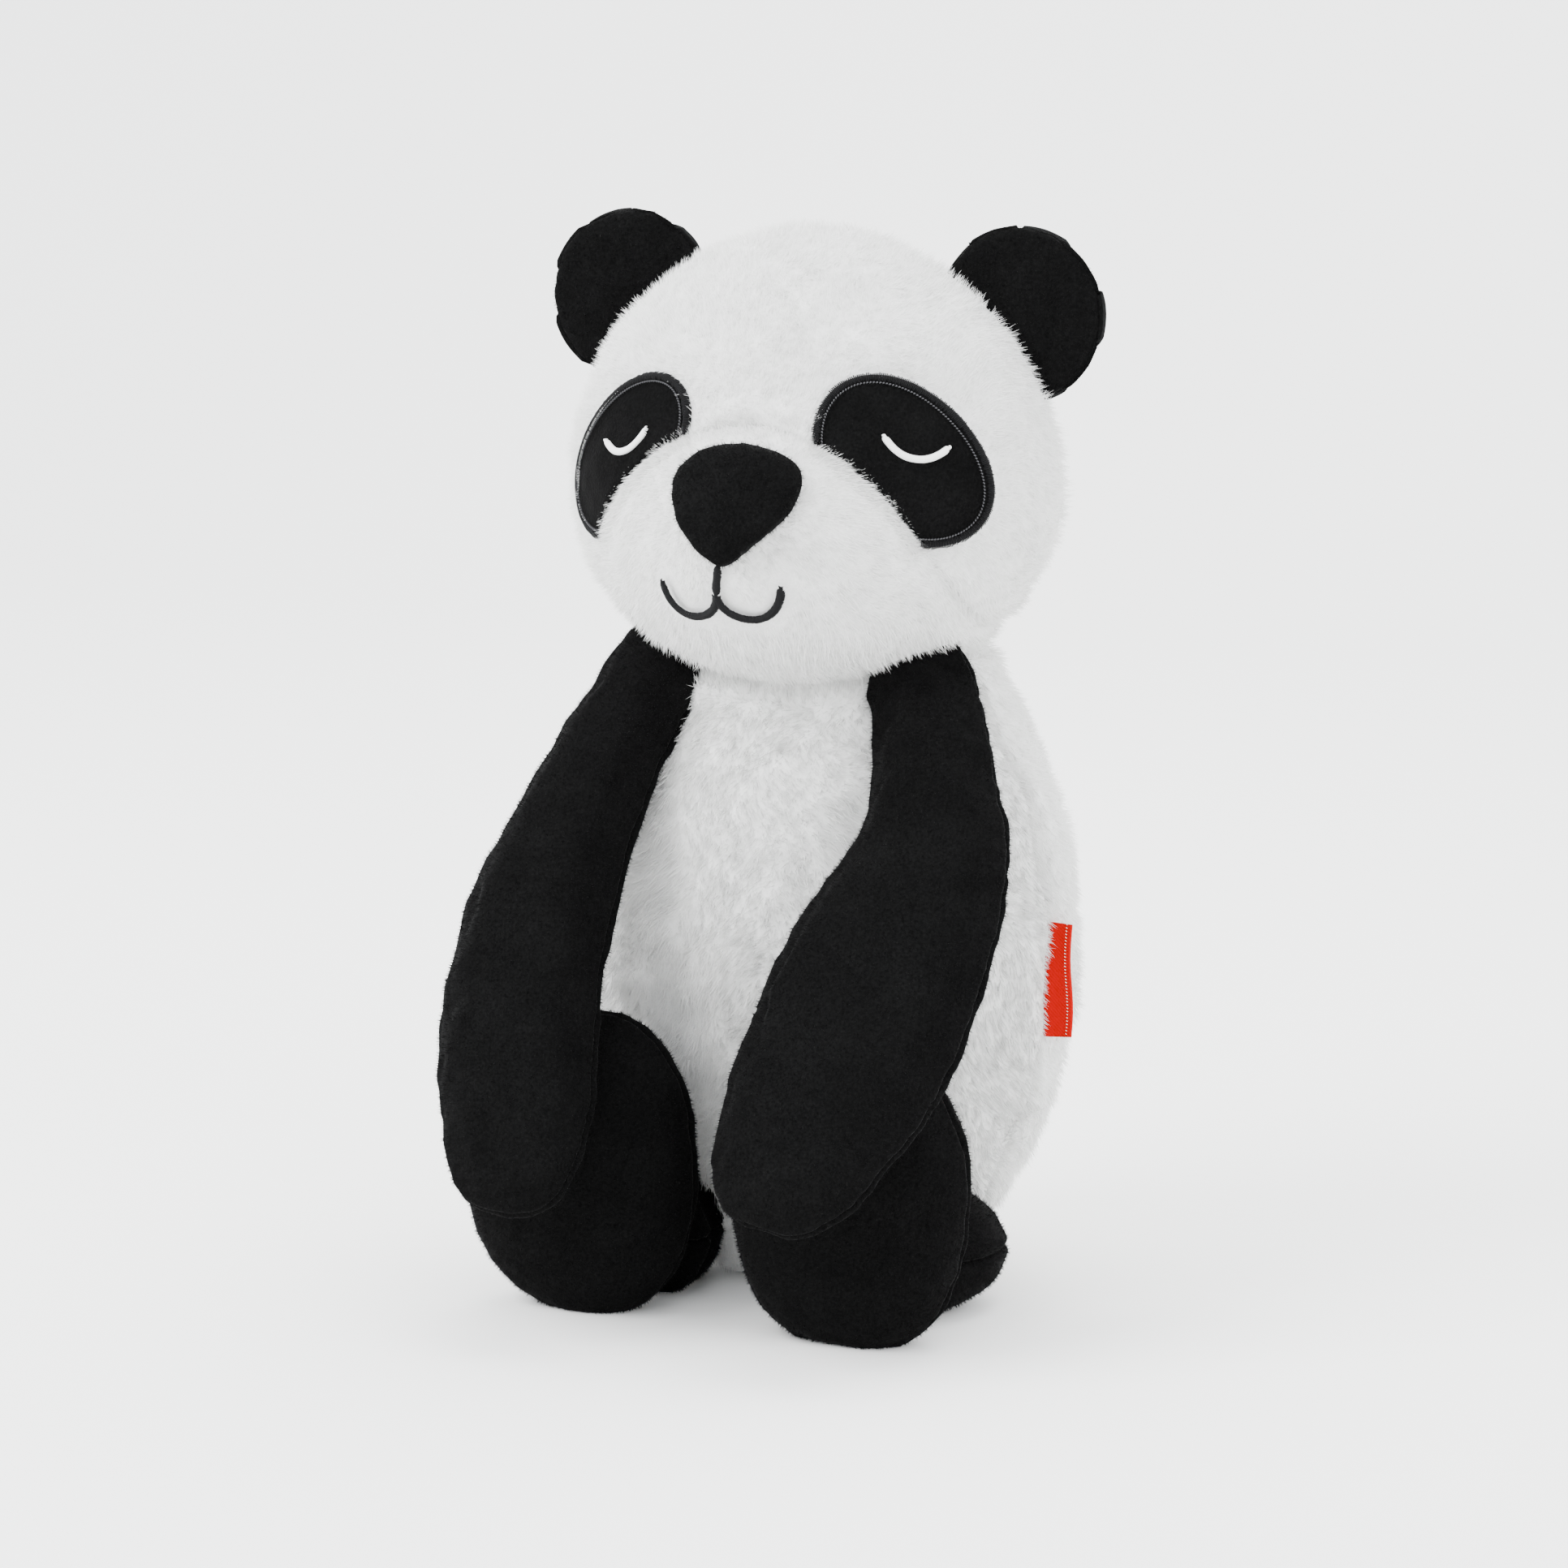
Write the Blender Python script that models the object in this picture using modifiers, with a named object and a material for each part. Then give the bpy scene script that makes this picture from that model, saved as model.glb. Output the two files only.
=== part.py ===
"""Sitting plush panda: fur head and body, black velour ears, arms and legs, sewn round stuffing.

Metres, +Z up. The panda faces -Y, its left side is +X, and it sits on the plane Z = 0.
Every cover is a shell cut along its seams into panels, and every panel lies round its own stuffing.
"""

import math

import bmesh
import bpy
from mathutils import Matrix, Vector

# Fabric and fits
FUR_CLOTH = 0.0022
VELOUR_CLOTH = 0.0012
PATCH_CLOTH = 0.0009
FIT_GAP = 0.0003
SEAM_GAP = 0.00015
FILL_GAP = 0.0006
HEAD_SEAM_Y = 0.001
BODY_SEAM_Y = -0.005
CUT_REACH = 0.4
OVAL_PAST_SEAM = 0.002
LEFT, RIGHT = 1, -1
SIDES = {"left": LEFT, "right": RIGHT}

# Head: half sizes from its widest level, and the muzzle that swells out of its front
HEAD_HALF_WIDTH = 0.0725
HEAD_FRONT = 0.0490
HEAD_BACK = 0.0530
HEAD_CENTRE_Y = -0.0085
HEAD_WIDEST_Z = 0.2355
HEAD_UP = 0.0715
HEAD_DOWN = 0.0575
HEAD_TOP_TAPER = 1.06
HEAD_JAW_FULLNESS = 0.86
MUZZLE_REACH = 0.0215
MUZZLE_Z = 0.2105
MUZZLE_SPREAD_X = 0.0330
MUZZLE_SPREAD_Z = 0.0255
MUZZLE_SEAM_Z = 0.1905
MUZZLE_SEAM_HALF_WIDTH = 0.0555
MUZZLE_SEAM_HALF_HEIGHT = 0.0640

# Neck: a ball of stuffing that both the head and the body are hollowed to take
NECK_Z = 0.1745
NECK_RADIUS = 0.0150
NECK_SOCKET_RADIUS = 0.0158
NAPE_DISH_RADIUS = 0.0664
NAPE_DISH_CENTRE = (0.0, -0.006, 0.2355)

# Body: height above the floor and half width there; its depth is a share of its width
BODY_PROFILE = (
    (0.000, 0.000),
    (0.001, 0.030),
    (0.011, 0.042),
    (0.027, 0.0530),
    (0.050, 0.0640),
    (0.086, 0.0715),
    (0.118, 0.0705),
    (0.146, 0.0650),
    (0.170, 0.0545),
    (0.185, 0.0445),
    (0.1905, 0.0260),
    (0.1915, 0.000),
)
BODY_DEPTH_SHARE = 0.77
BODY_CENTRE_Y = 0.005
BASE_THICKNESS = 0.0020
BASE_HALF_WIDTH = 0.0300
BASE_HALF_DEPTH = 0.0230
PELLET_TOP_Z = 0.030

# Eyes: an oval patch on each side, its satin border, and a closed lid sewn on it
PATCH_CENTRE_X = 0.0420
PATCH_CENTRE_Z = 0.2450
PATCH_HALF_LENGTH = 0.0272
PATCH_HALF_WIDTH = 0.0180
PATCH_TILT = math.radians(-40.0)
PATCH_BORDER = 0.0020
PATCH_LIFT = 0.0006
LID_CENTRE_X = 0.0450
LID_TOP_Z = 0.2520
LID_HALF_WIDTH = 0.0095
LID_DROP = 0.0060
STITCH_RADIUS = 0.0008
LID_LIFT = 0.0026

# Nose and mouth
NOSE_CENTRE_Z = 0.2340
NOSE_HALF_WIDTH = 0.0210
NOSE_HALF_HEIGHT = 0.0168
NOSE_BULGE = 0.0060
NOSE_RIM = 0.0030
NOSE_LIFT = 0.0006
MOUTH_TOP_Z = 0.2165
MOUTH_FORK_Z = 0.2063
MOUTH_END_X = 0.0172
MOUTH_END_Z = 0.2117
MOUTH_LOW_Z = 0.2000
MOUTH_LIFT = 0.0014
MOUTH_STEPS = 7
CORD_SIDES = 6

# Ears: flattened rounds that stand out of the side seam
EAR_CENTRE = (0.0612, HEAD_SEAM_Y, 0.2862)
EAR_RADIUS = 0.0245
EAR_HALF_THICKNESS = 0.0045
EAR_ROOT_GAP = 0.0020

# Arms: flat limbs that lie in one sloping plane from the shoulder to the hand
SHOULDER = (0.0, -0.0290, 0.1775)
ARM_SLOPES = {LEFT: math.radians(36.5), RIGHT: math.radians(35.5)}
ARM_PATHS = {
    LEFT: (
        (-0.006, 0.0420),
        (0.029, 0.0513),
        (0.059, 0.0567),
        (0.089, 0.0562),
        (0.118, 0.0503),
        (0.143, 0.0415),
        (0.165, 0.0330),
    ),
    RIGHT: (
        (-0.006, 0.0420),
        (0.029, 0.0513),
        (0.059, 0.0567),
        (0.089, 0.0572),
        (0.118, 0.0545),
        (0.143, 0.0485),
        (0.165, 0.0430),
    ),
}
ARM_HALF_WIDTHS = (
    (-0.006, 0.0120),
    (0.030, 0.0165),
    (0.070, 0.0215),
    (0.115, 0.0225),
    (0.165, 0.0235),
)
ARM_HALF_THICKNESSES = (
    (-0.006, 0.0070),
    (0.030, 0.0105),
    (0.070, 0.0120),
    (0.115, 0.0115),
    (0.165, 0.0115),
)
LIMB_END_ROUNDNESS = 3.2
SHOULDER_GATHER_RADIUS = 0.0027
SHOULDER_GATHER_PLACE = (0.0440, -0.0243, 0.1690)

# Legs: an upright oval foot in front of a short thigh
FOOT_CENTRES = {LEFT: (0.0390, -0.0780, 0.0425), RIGHT: (0.0465, -0.0710, 0.0425)}
FOOT_HALF_SIZES = (0.0330, 0.0180, 0.0425)
FOOT_FULLNESS = 2.3
THIGH_HIP = (0.0467, -0.0201)
THIGH_BEND_X = 0.0590
THIGH_HALF_WIDTH = 0.0165
THIGH_HALF_HEIGHT = 0.0165
THIGH_Z = 0.0175
THIGH_HIP_TURN = math.radians(33.0)
HIP_GATHER_RADIUS = 0.0040
HIP_GATHER_PLACE = (0.0433, -0.0173, 0.0180)
ANKLE_Z = 0.0300

# Side label: a folded ribbon caught in the left side seam
LABEL_HEIGHT = 0.0340
LABEL_REACH = 0.0100
LABEL_THICKNESS = 0.0012
LABEL_CENTRE_Z = 0.0905

# Thin pieces that the exact solver loses
THIN_PIECES = ("_wadding", "_patch", "_border")

# How finely the forms are faceted
HEAD_STEPS = (20, 12)
BODY_STEPS = (20, 12)
LIMB_STEPS = (12, 10)
SMALL_STEPS = (12, 8)
NECK_STEPS = (16, 10)
NAPE_STEPS = (24, 18)
GATHER_STEPS = (10, 6)

COLOURS = {
    "white_fur": (0.80, 0.80, 0.79),
    "black_velour": (0.018, 0.018, 0.019),
    "black_satin_thread": (0.030, 0.030, 0.032),
    "white_satin_thread": (0.85, 0.85, 0.84),
    "polyester_fill": (0.88, 0.88, 0.86),
    "pellet_bag_cotton": (0.72, 0.69, 0.62),
    "woven_label_red": (0.70, 0.02, 0.02),
}


def clear_scene():
    for scene_object in list(bpy.data.objects):
        bpy.data.objects.remove(scene_object, do_unlink=True)


def new_collection(name):
    collection = bpy.data.collections.new(name)
    bpy.context.scene.collection.children.link(collection)
    return collection


def new_material(name):
    material = bpy.data.materials.new(name)
    material.use_nodes = True
    shader = material.node_tree.nodes["Principled BSDF"]
    shader.inputs["Base Color"].default_value = (*COLOURS[name], 1.0)
    shader.inputs["Roughness"].default_value = 0.35 if "satin" in name else 0.9
    shader.inputs["Metallic"].default_value = 0.0
    return material


def smooth_value(points, at):
    """The value at one place along a list of (place, value), on a smooth curve through all of them."""
    places = [place for place, _ in points]
    values = [value for _, value in points]
    if at <= places[0]:
        return values[0]
    if at >= places[-1]:
        return values[-1]
    last = len(points) - 1
    i = max(k for k in range(last) if places[k] <= at)

    def slope(k):
        before, after = max(k - 1, 0), min(k + 1, last)
        return (values[after] - values[before]) / (places[after] - places[before])

    span = places[i + 1] - places[i]
    t = (at - places[i]) / span
    start, end = values[i], values[i + 1]
    return (
        (2 * t**3 - 3 * t**2 + 1) * start
        + (t**3 - 2 * t**2 + t) * span * slope(i)
        + (3 * t**2 - 2 * t**3) * end
        + (t**3 - t**2) * span * slope(i + 1)
    )


def muzzle_swell(x, z):
    """How far the muzzle stands out in front of the plain egg of the head."""
    across = x / MUZZLE_SPREAD_X
    up = (z - MUZZLE_Z) / MUZZLE_SPREAD_Z
    return MUZZLE_REACH * math.exp(-(across**2 + up**2) / 2)


def head_shape(p):
    """A point of the unit sphere moved onto the head."""
    upper = p.z > 0
    z = HEAD_WIDEST_Z + p.z * (HEAD_UP if upper else HEAD_DOWN)
    ring = math.hypot(p.x, p.y)
    if ring < 1e-6:
        return Vector((0.0, HEAD_CENTRE_Y, z))
    size = ring ** (HEAD_TOP_TAPER if upper else HEAD_JAW_FULLNESS)
    x = HEAD_HALF_WIDTH * size * p.x / ring
    depth = HEAD_FRONT if p.y < 0 else HEAD_BACK
    y = HEAD_CENTRE_Y + depth * size * p.y / ring
    forward = max(-p.y / ring, 0.0) ** 0.5
    return Vector((x, y - forward * muzzle_swell(x, z), z))


def head_front_y(x, z):
    """Where the head's front surface lies at one place seen from the front."""
    upper = z > HEAD_WIDEST_Z
    rise = (z - HEAD_WIDEST_Z) / (HEAD_UP if upper else HEAD_DOWN)
    size = math.sqrt(1 - rise**2) ** (HEAD_TOP_TAPER if upper else HEAD_JAW_FULLNESS)
    across = x / (HEAD_HALF_WIDTH * size)
    forward = math.sqrt(1 - across**2)
    return HEAD_CENTRE_Y - HEAD_FRONT * size * forward - math.sqrt(forward) * muzzle_swell(x, z)


def body_shape(p):
    """A point of the unit sphere moved onto the body."""
    top = BODY_PROFILE[-1][0]
    z = top * (p.z + 1) / 2
    half_width = smooth_value(BODY_PROFILE, z)
    ring = max(math.hypot(p.x, p.y), 1e-6)
    x = half_width * p.x / ring
    y = BODY_CENTRE_Y + half_width * BODY_DEPTH_SHARE * p.y / ring
    return Vector((x, y, z))


def ear_shape(p):
    """A point of the unit sphere moved onto the left ear."""
    centre = Vector(EAR_CENTRE)
    return centre + Vector((EAR_RADIUS * p.x, EAR_HALF_THICKNESS * p.z, EAR_RADIUS * p.y))


def nose_shape(inset, back_reach):
    """A shape for the nose, a padded triangle with its point down, inset and reaching further back."""

    def place(p):
        ring = max(math.hypot(p.x, p.y), 1e-6)
        size = (1 - p.z**4) ** 0.25 / ring
        height = p.y * size
        width = NOSE_HALF_WIDTH * (0.80 + 0.34 * height - 0.14 * height**2) - inset
        x = width * p.x * size
        z = NOSE_CENTRE_Z + (NOSE_HALF_HEIGHT - inset) * height
        depth = (NOSE_BULGE - inset if p.z > 0 else NOSE_RIM + back_reach) * p.z
        return Vector((x, head_front_y(x, z) - NOSE_LIFT - NOSE_RIM - depth, z))

    return place


def arm_frame(side, s):
    """The arm's centre line, its sideways direction and its outward direction at a distance along it."""
    slope, path = ARM_SLOPES[side], ARM_PATHS[side]
    along = Vector((0.0, -math.sin(slope), -math.cos(slope)))
    out = Vector((0.0, -math.cos(slope), math.sin(slope)))
    step = 0.004
    drift = (smooth_value(path, s + step) - smooth_value(path, s - step)) / (2 * step)
    centre = Vector(SHOULDER) + along * s + Vector((smooth_value(path, s), 0.0, 0.0))
    sideways = (Vector((1.0, 0.0, 0.0)) - along * drift).normalized()
    return centre, sideways, out


def limb_ring(p):
    """The direction round a limb of a point of the unit sphere, shrunk to make the limb's ends round."""
    ring = max(math.hypot(p.x, p.y), 1e-6)
    size = max(1 - abs(p.z) ** LIMB_END_ROUNDNESS, 0.0) ** (1 / LIMB_END_ROUNDNESS)
    return size * p.x / ring, size * p.y / ring


def arm_shape(side):
    """A shape for one arm, as it lies on the left."""

    def place(p):
        first, last = ARM_PATHS[side][0][0], ARM_PATHS[side][-1][0]
        s = first + (last - first) * (1 - p.z) / 2
        centre, sideways, out = arm_frame(side, s)
        across, thick = limb_ring(p)
        across *= smooth_value(ARM_HALF_WIDTHS, s)
        thick *= smooth_value(ARM_HALF_THICKNESSES, s)
        return centre + sideways * across + out * thick

    return place


def foot_shape(side):
    """A shape for one foot, a full upright oval, as it stands on the left."""
    power = 2 / FOOT_FULLNESS

    def place(p):
        full = [math.copysign(abs(value) ** power, value) for value in p]
        reach = Vector([size * value for size, value in zip(FOOT_HALF_SIZES, full)])
        return Vector(FOOT_CENTRES[side]) + reach

    return place


def thigh_shape(side):
    """A shape for one thigh, which runs back from the foot to the hip, as it lies on the left."""
    foot = FOOT_CENTRES[side]
    hip = Vector((*THIGH_HIP, THIGH_Z))
    heel = Vector((foot[0], foot[1] + FOOT_HALF_SIZES[1] + 2 * FIT_GAP, THIGH_Z))
    bend = Vector((THIGH_BEND_X, (hip.y + heel.y) / 2, THIGH_Z))
    hip_side = Vector((math.cos(THIGH_HIP_TURN), math.sin(THIGH_HIP_TURN), 0.0))

    def place(p):
        t = (1 - p.z) / 2
        centre = hip * (1 - t) ** 2 + bend * 2 * t * (1 - t) + heel * t**2
        sideways = hip_side.lerp(Vector((1.0, 0.0, 0.0)), t)
        across, up = limb_ring(p)
        return centre + sideways * THIGH_HALF_WIDTH * across + Vector((0.0, 0.0, THIGH_HALF_HEIGHT * up))

    return place


def formed(shape, steps, side=LEFT, shift=0.0):
    """A sphere pressed into one of the shapes, for one side, and grown or shrunk along its normals."""
    bm = bmesh.new()
    bmesh.ops.create_uvsphere(bm, u_segments=steps[0], v_segments=steps[1], radius=1.0)
    bmesh.ops.triangulate(bm, faces=bm.faces, quad_method="FIXED")
    for vert in bm.verts:
        vert.co = shape(vert.co.copy())
        vert.co.x *= side
    if bm.calc_volume(signed=True) < 0:
        bmesh.ops.reverse_faces(bm, faces=bm.faces)
    bm.normal_update()
    moves = [(vert, vert.co + vert.normal * shift) for vert in bm.verts]
    for vert, place in moves:
        vert.co = place
    return bm


def add_object(name, bm, material, collection=None):
    mesh = bpy.data.meshes.new(name)
    bm.to_mesh(mesh)
    bm.free()
    mesh.shade_smooth()
    part = bpy.data.objects.new(name, mesh)
    (collection or panda).objects.link(part)
    if material:
        mesh.materials.append(materials[material])
    return part


def add_cutter(name, bm):
    cutter = add_object(name, bm, None, cutters)
    cutter.hide_render = True
    cutter.display_type = "WIRE"
    return cutter


def box_cutter(name, low, high):
    bm = bmesh.new()
    bmesh.ops.create_cube(bm, size=1.0)
    centre = [(a + b) / 2 for a, b in zip(low, high)]
    size = [b - a for a, b in zip(low, high)]
    bmesh.ops.transform(bm, matrix=Matrix.LocRotScale(centre, None, size), verts=bm.verts)
    return add_cutter(name, bm)


def half_space(name, axis, start, sign):
    """A block that holds everything on one side of a plane across X, Y or Z."""
    low, high = [-CUT_REACH] * 3, [CUT_REACH] * 3
    (low if sign > 0 else high)[axis] = start
    return box_cutter(name, low, high)


def oval_cutter(name, centre_x, centre_z, half_x, half_z, tilt=0.0):
    """An oval prism that runs from in front of the head back past its side seam."""
    bm = bmesh.new()
    bmesh.ops.create_cone(bm, cap_ends=True, segments=36, radius1=1.0, radius2=1.0, depth=CUT_REACH)
    size = Matrix.Diagonal((half_x, half_z, 1.0, 1.0))
    upright = Matrix.Rotation(math.radians(90.0), 4, "X")
    turn = Matrix.Rotation(tilt, 4, "Y")
    place = Matrix.Translation((centre_x, HEAD_SEAM_Y + OVAL_PAST_SEAM - CUT_REACH / 2, centre_z))
    bmesh.ops.transform(bm, matrix=place @ turn @ upright @ size, verts=bm.verts)
    return add_cutter(name, bm)


def cut(part, cutter, operation):
    modifier = part.modifiers.new(cutter.name, "BOOLEAN")
    modifier.operation = operation
    modifier.object = cutter
    modifier.solver = "MANIFOLD" if part.name.endswith(THIN_PIECES) else "EXACT"


def keep(part, *chosen):
    for cutter in chosen:
        cut(part, cutter, "INTERSECT")


def remove(part, *chosen):
    for cutter in chosen:
        cut(part, cutter, "DIFFERENCE")


def shell(part, thickness):
    modifier = part.modifiers.new("cloth", "SOLIDIFY")
    modifier.thickness = thickness
    modifier.offset = -1.0


def sphere_cutter(name, centre, radius, steps):
    bm = bmesh.new()
    bmesh.ops.create_uvsphere(bm, u_segments=steps[0], v_segments=steps[1], radius=radius)
    bmesh.ops.translate(bm, verts=bm.verts, vec=centre)
    return add_cutter(name, bm)


def cord(points, radius):
    """A round cord lofted through points that lie on the face, with flat ends."""
    bm = bmesh.new()
    places = [Vector(point) for point in points]
    rings = []
    for i, place in enumerate(places):
        along = (places[min(i + 1, len(places) - 1)] - places[max(i - 1, 0)]).normalized()
        raised = (Vector((0.0, -1.0, 0.0)) + along * along.y).normalized()
        beside = along.cross(raised)
        ring = []
        for side in range(CORD_SIDES):
            angle = 2 * math.pi * side / CORD_SIDES
            arm = raised * math.cos(angle) + beside * math.sin(angle)
            ring.append(bm.verts.new(place + arm * radius))
        rings.append(ring)
    for ring, following in zip(rings, rings[1:]):
        for side in range(CORD_SIDES):
            after = (side + 1) % CORD_SIDES
            bm.faces.new((ring[side], ring[after], following[after], following[side]))
    bm.faces.new(rings[0])
    bm.faces.new(rings[-1])
    bmesh.ops.recalc_face_normals(bm, faces=bm.faces)
    return bm


def make_head(seams):
    neck = seams["neck"]
    forehead = add_object("forehead_panel", formed(head_shape, HEAD_STEPS), "white_fur")
    muzzle = add_object("muzzle_panel", formed(head_shape, HEAD_STEPS), "white_fur")
    for part in (forehead, muzzle):
        shell(part, FUR_CLOTH)
        keep(part, seams["head_front"])
    muzzle_inside = oval_cutter(
        "muzzle_inside", 0.0, MUZZLE_SEAM_Z, MUZZLE_SEAM_HALF_WIDTH, MUZZLE_SEAM_HALF_HEIGHT
    )
    muzzle_outside = oval_cutter(
        "muzzle_outside",
        0.0,
        MUZZLE_SEAM_Z,
        MUZZLE_SEAM_HALF_WIDTH + FIT_GAP,
        MUZZLE_SEAM_HALF_HEIGHT + FIT_GAP,
    )
    remove(forehead, muzzle_outside, neck)
    keep(muzzle, muzzle_inside)
    remove(muzzle, neck)
    for name, side_half in (("left", seams["left"]), ("right", seams["right"])):
        back = add_object(f"head_back_{name}_panel", formed(head_shape, HEAD_STEPS), "white_fur")
        shell(back, FUR_CLOTH)
        keep(back, seams["head_back"], side_half)
        remove(back, neck)
    fill = formed(head_shape, HEAD_STEPS, shift=-FUR_CLOTH - FILL_GAP)
    stuffing = add_object("head_stuffing", fill, "polyester_fill")
    remove(stuffing, neck)
    return muzzle_outside


def make_eye(name, side, muzzle_seam):
    tilt = PATCH_TILT * side
    centre_x = PATCH_CENTRE_X * side

    def patch_oval(label, change):
        return oval_cutter(
            f"{name}_{label}",
            centre_x,
            PATCH_CENTRE_Z,
            PATCH_HALF_WIDTH + change,
            PATCH_HALF_LENGTH + change,
            tilt,
        )

    outer = patch_oval("border_outside", 0.0)
    inner = patch_oval("border_inside", -PATCH_BORDER)
    field = patch_oval("patch_outline", -PATCH_BORDER - FIT_GAP)
    surface_shift = PATCH_LIFT + PATCH_CLOTH
    patch = add_object(
        f"{name}_eye_patch", formed(head_shape, HEAD_STEPS, shift=surface_shift), "black_velour"
    )
    shell(patch, PATCH_CLOTH)
    keep(patch, field)
    remove(patch, muzzle_seam)
    raised_head = formed(head_shape, HEAD_STEPS, shift=surface_shift)
    border = add_object(f"{name}_eye_patch_border", raised_head, "black_satin_thread")
    shell(border, PATCH_CLOTH)
    keep(border, outer)
    remove(border, inner, muzzle_seam)
    lid = []
    for step in range(9):
        share = step / 4 - 1
        x = (LID_CENTRE_X + LID_HALF_WIDTH * share) * side
        z = LID_TOP_Z - LID_DROP * (1 - share**2)
        lid.append((x, head_front_y(x, z) - LID_LIFT, z))
    add_object(f"{name}_closed_eyelid_stitch", cord(lid, STITCH_RADIUS), "white_satin_thread")


def make_nose_and_mouth():
    cover = add_object("nose_cover", formed(nose_shape(0.0, 0.0), SMALL_STEPS), "black_velour")
    opening = formed(nose_shape(VELOUR_CLOTH, NOSE_RIM), SMALL_STEPS)
    remove(cover, add_cutter("nose_back_opening", opening))
    pad = formed(nose_shape(VELOUR_CLOTH + FIT_GAP, 0.0), SMALL_STEPS)
    add_object("nose_stuffing", pad, "polyester_fill")
    smile = []
    for step in range(-MOUTH_STEPS, MOUTH_STEPS + 1):
        side = RIGHT if step < 0 else LEFT
        angle = math.pi * abs(step) / MOUTH_STEPS
        x = side * (MOUTH_END_X / 2) * (1 - math.cos(angle))
        rise = MOUTH_FORK_Z if angle < math.pi / 2 else MOUTH_END_Z
        z = MOUTH_LOW_Z + (rise - MOUTH_LOW_Z) * (1 - math.sin(angle))
        smile.append((x, head_front_y(x, z) - MOUTH_LIFT, z))
    mouth = add_object("mouth_stitch", cord(smile, STITCH_RADIUS), "black_satin_thread")
    stem = [
        (0.0, head_front_y(0.0, z) - MOUTH_LIFT, z)
        for z in (MOUTH_TOP_Z, (MOUTH_TOP_Z + MOUTH_FORK_Z) / 2, MOUTH_FORK_Z)
    ]
    cut(mouth, add_cutter("mouth_stem", cord(stem, STITCH_RADIUS)), "UNION")


def make_ear(name, side, seams):
    front = add_object(f"{name}_ear_front_panel", formed(ear_shape, SMALL_STEPS, side), "black_velour")
    back = add_object(f"{name}_ear_back_panel", formed(ear_shape, SMALL_STEPS, side), "black_velour")
    for part, half in ((front, seams["head_front"]), (back, seams["head_back"])):
        shell(part, VELOUR_CLOTH)
        keep(part, half)
        remove(part, seams["ear_root"])
    wad = formed(ear_shape, SMALL_STEPS, side, shift=-VELOUR_CLOTH - FILL_GAP)
    wadding = add_object(f"{name}_ear_wadding", wad, "polyester_fill")
    remove(wadding, seams["ear_root"])


def make_body(seams):
    neck, nape = seams["neck"], seams["nape"]
    above_base = half_space("above_base", 2, BASE_THICKNESS + FIT_GAP, 1)
    belly = add_object("belly_panel", formed(body_shape, BODY_STEPS), "white_fur")
    shell(belly, FUR_CLOTH)
    keep(belly, seams["body_front"], above_base)
    remove(belly, nape, neck)
    for name, side_half in (("left", seams["left"]), ("right", seams["right"])):
        back = add_object(f"body_back_{name}_panel", formed(body_shape, BODY_STEPS), "white_fur")
        shell(back, FUR_CLOTH)
        keep(back, seams["body_back"], side_half, above_base)
        remove(back, nape, neck)
    inside = -FUR_CLOTH - FILL_GAP
    above_pellets = half_space("above_pellets", 2, PELLET_TOP_Z + FILL_GAP, 1)
    below_pellets = box_cutter(
        "below_pellets",
        (-CUT_REACH, -CUT_REACH, BASE_THICKNESS + FILL_GAP),
        (CUT_REACH, CUT_REACH, PELLET_TOP_Z),
    )
    stuffing = add_object("body_stuffing", formed(body_shape, BODY_STEPS, shift=inside), "polyester_fill")
    keep(stuffing, above_pellets)
    remove(stuffing, nape, neck)
    bag = add_object("pellet_bag", formed(body_shape, BODY_STEPS, shift=inside), "pellet_bag_cotton")
    keep(bag, below_pellets)
    bm = bmesh.new()
    bmesh.ops.create_cone(bm, cap_ends=True, segments=28, radius1=1.0, radius2=1.0, depth=1.0)
    bmesh.ops.scale(bm, vec=(BASE_HALF_WIDTH, BASE_HALF_DEPTH, BASE_THICKNESS), verts=bm.verts)
    base = add_object("base_panel", bm, "white_fur")
    base.location = (0.0, BODY_CENTRE_Y, BASE_THICKNESS / 2)


def make_neck():
    bm = bmesh.new()
    bmesh.ops.create_uvsphere(bm, u_segments=NECK_STEPS[0], v_segments=NECK_STEPS[1], radius=NECK_RADIUS)
    ball = add_object("neck_stuffing", bm, "polyester_fill")
    ball.location = (0.0, 0.0, NECK_Z)


def make_arm(name, side):
    pivot = bpy.data.objects.new(f"{name}_arm_pivot", None)
    pivot.location = (SHOULDER_GATHER_PLACE[0] * side, SHOULDER_GATHER_PLACE[1], SHOULDER_GATHER_PLACE[2])
    panda.objects.link(pivot)
    home = pivot.location.copy()
    _, _, out = arm_frame(side, 0.0)

    def arm_half(label, sign):
        bm = bmesh.new()
        bmesh.ops.create_cube(bm, size=CUT_REACH)
        lean = Matrix.Rotation(-ARM_SLOPES[side], 4, "X")
        centre = Vector(SHOULDER) + out * sign * (CUT_REACH / 2 + SEAM_GAP)
        bmesh.ops.transform(bm, matrix=Matrix.Translation(centre) @ lean, verts=bm.verts)
        return add_cutter(f"{name}_arm_{label}", bm)

    def on_pivot(part):
        part.data.transform(Matrix.Translation(-home))
        part.parent = pivot

    for label, sign in (("outer", 1), ("inner", -1)):
        bm = formed(arm_shape(side), LIMB_STEPS, side)
        panel = add_object(f"{name}_arm_{label}_panel", bm, "black_velour")
        shell(panel, VELOUR_CLOTH)
        keep(panel, arm_half(label, sign))
        on_pivot(panel)
    fill = formed(arm_shape(side), LIMB_STEPS, side, shift=-VELOUR_CLOTH - FILL_GAP)
    on_pivot(add_object(f"{name}_arm_stuffing", fill, "polyester_fill"))
    make_gather(f"{name}_shoulder_gather", SHOULDER_GATHER_RADIUS, SHOULDER_GATHER_PLACE, side)


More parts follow.
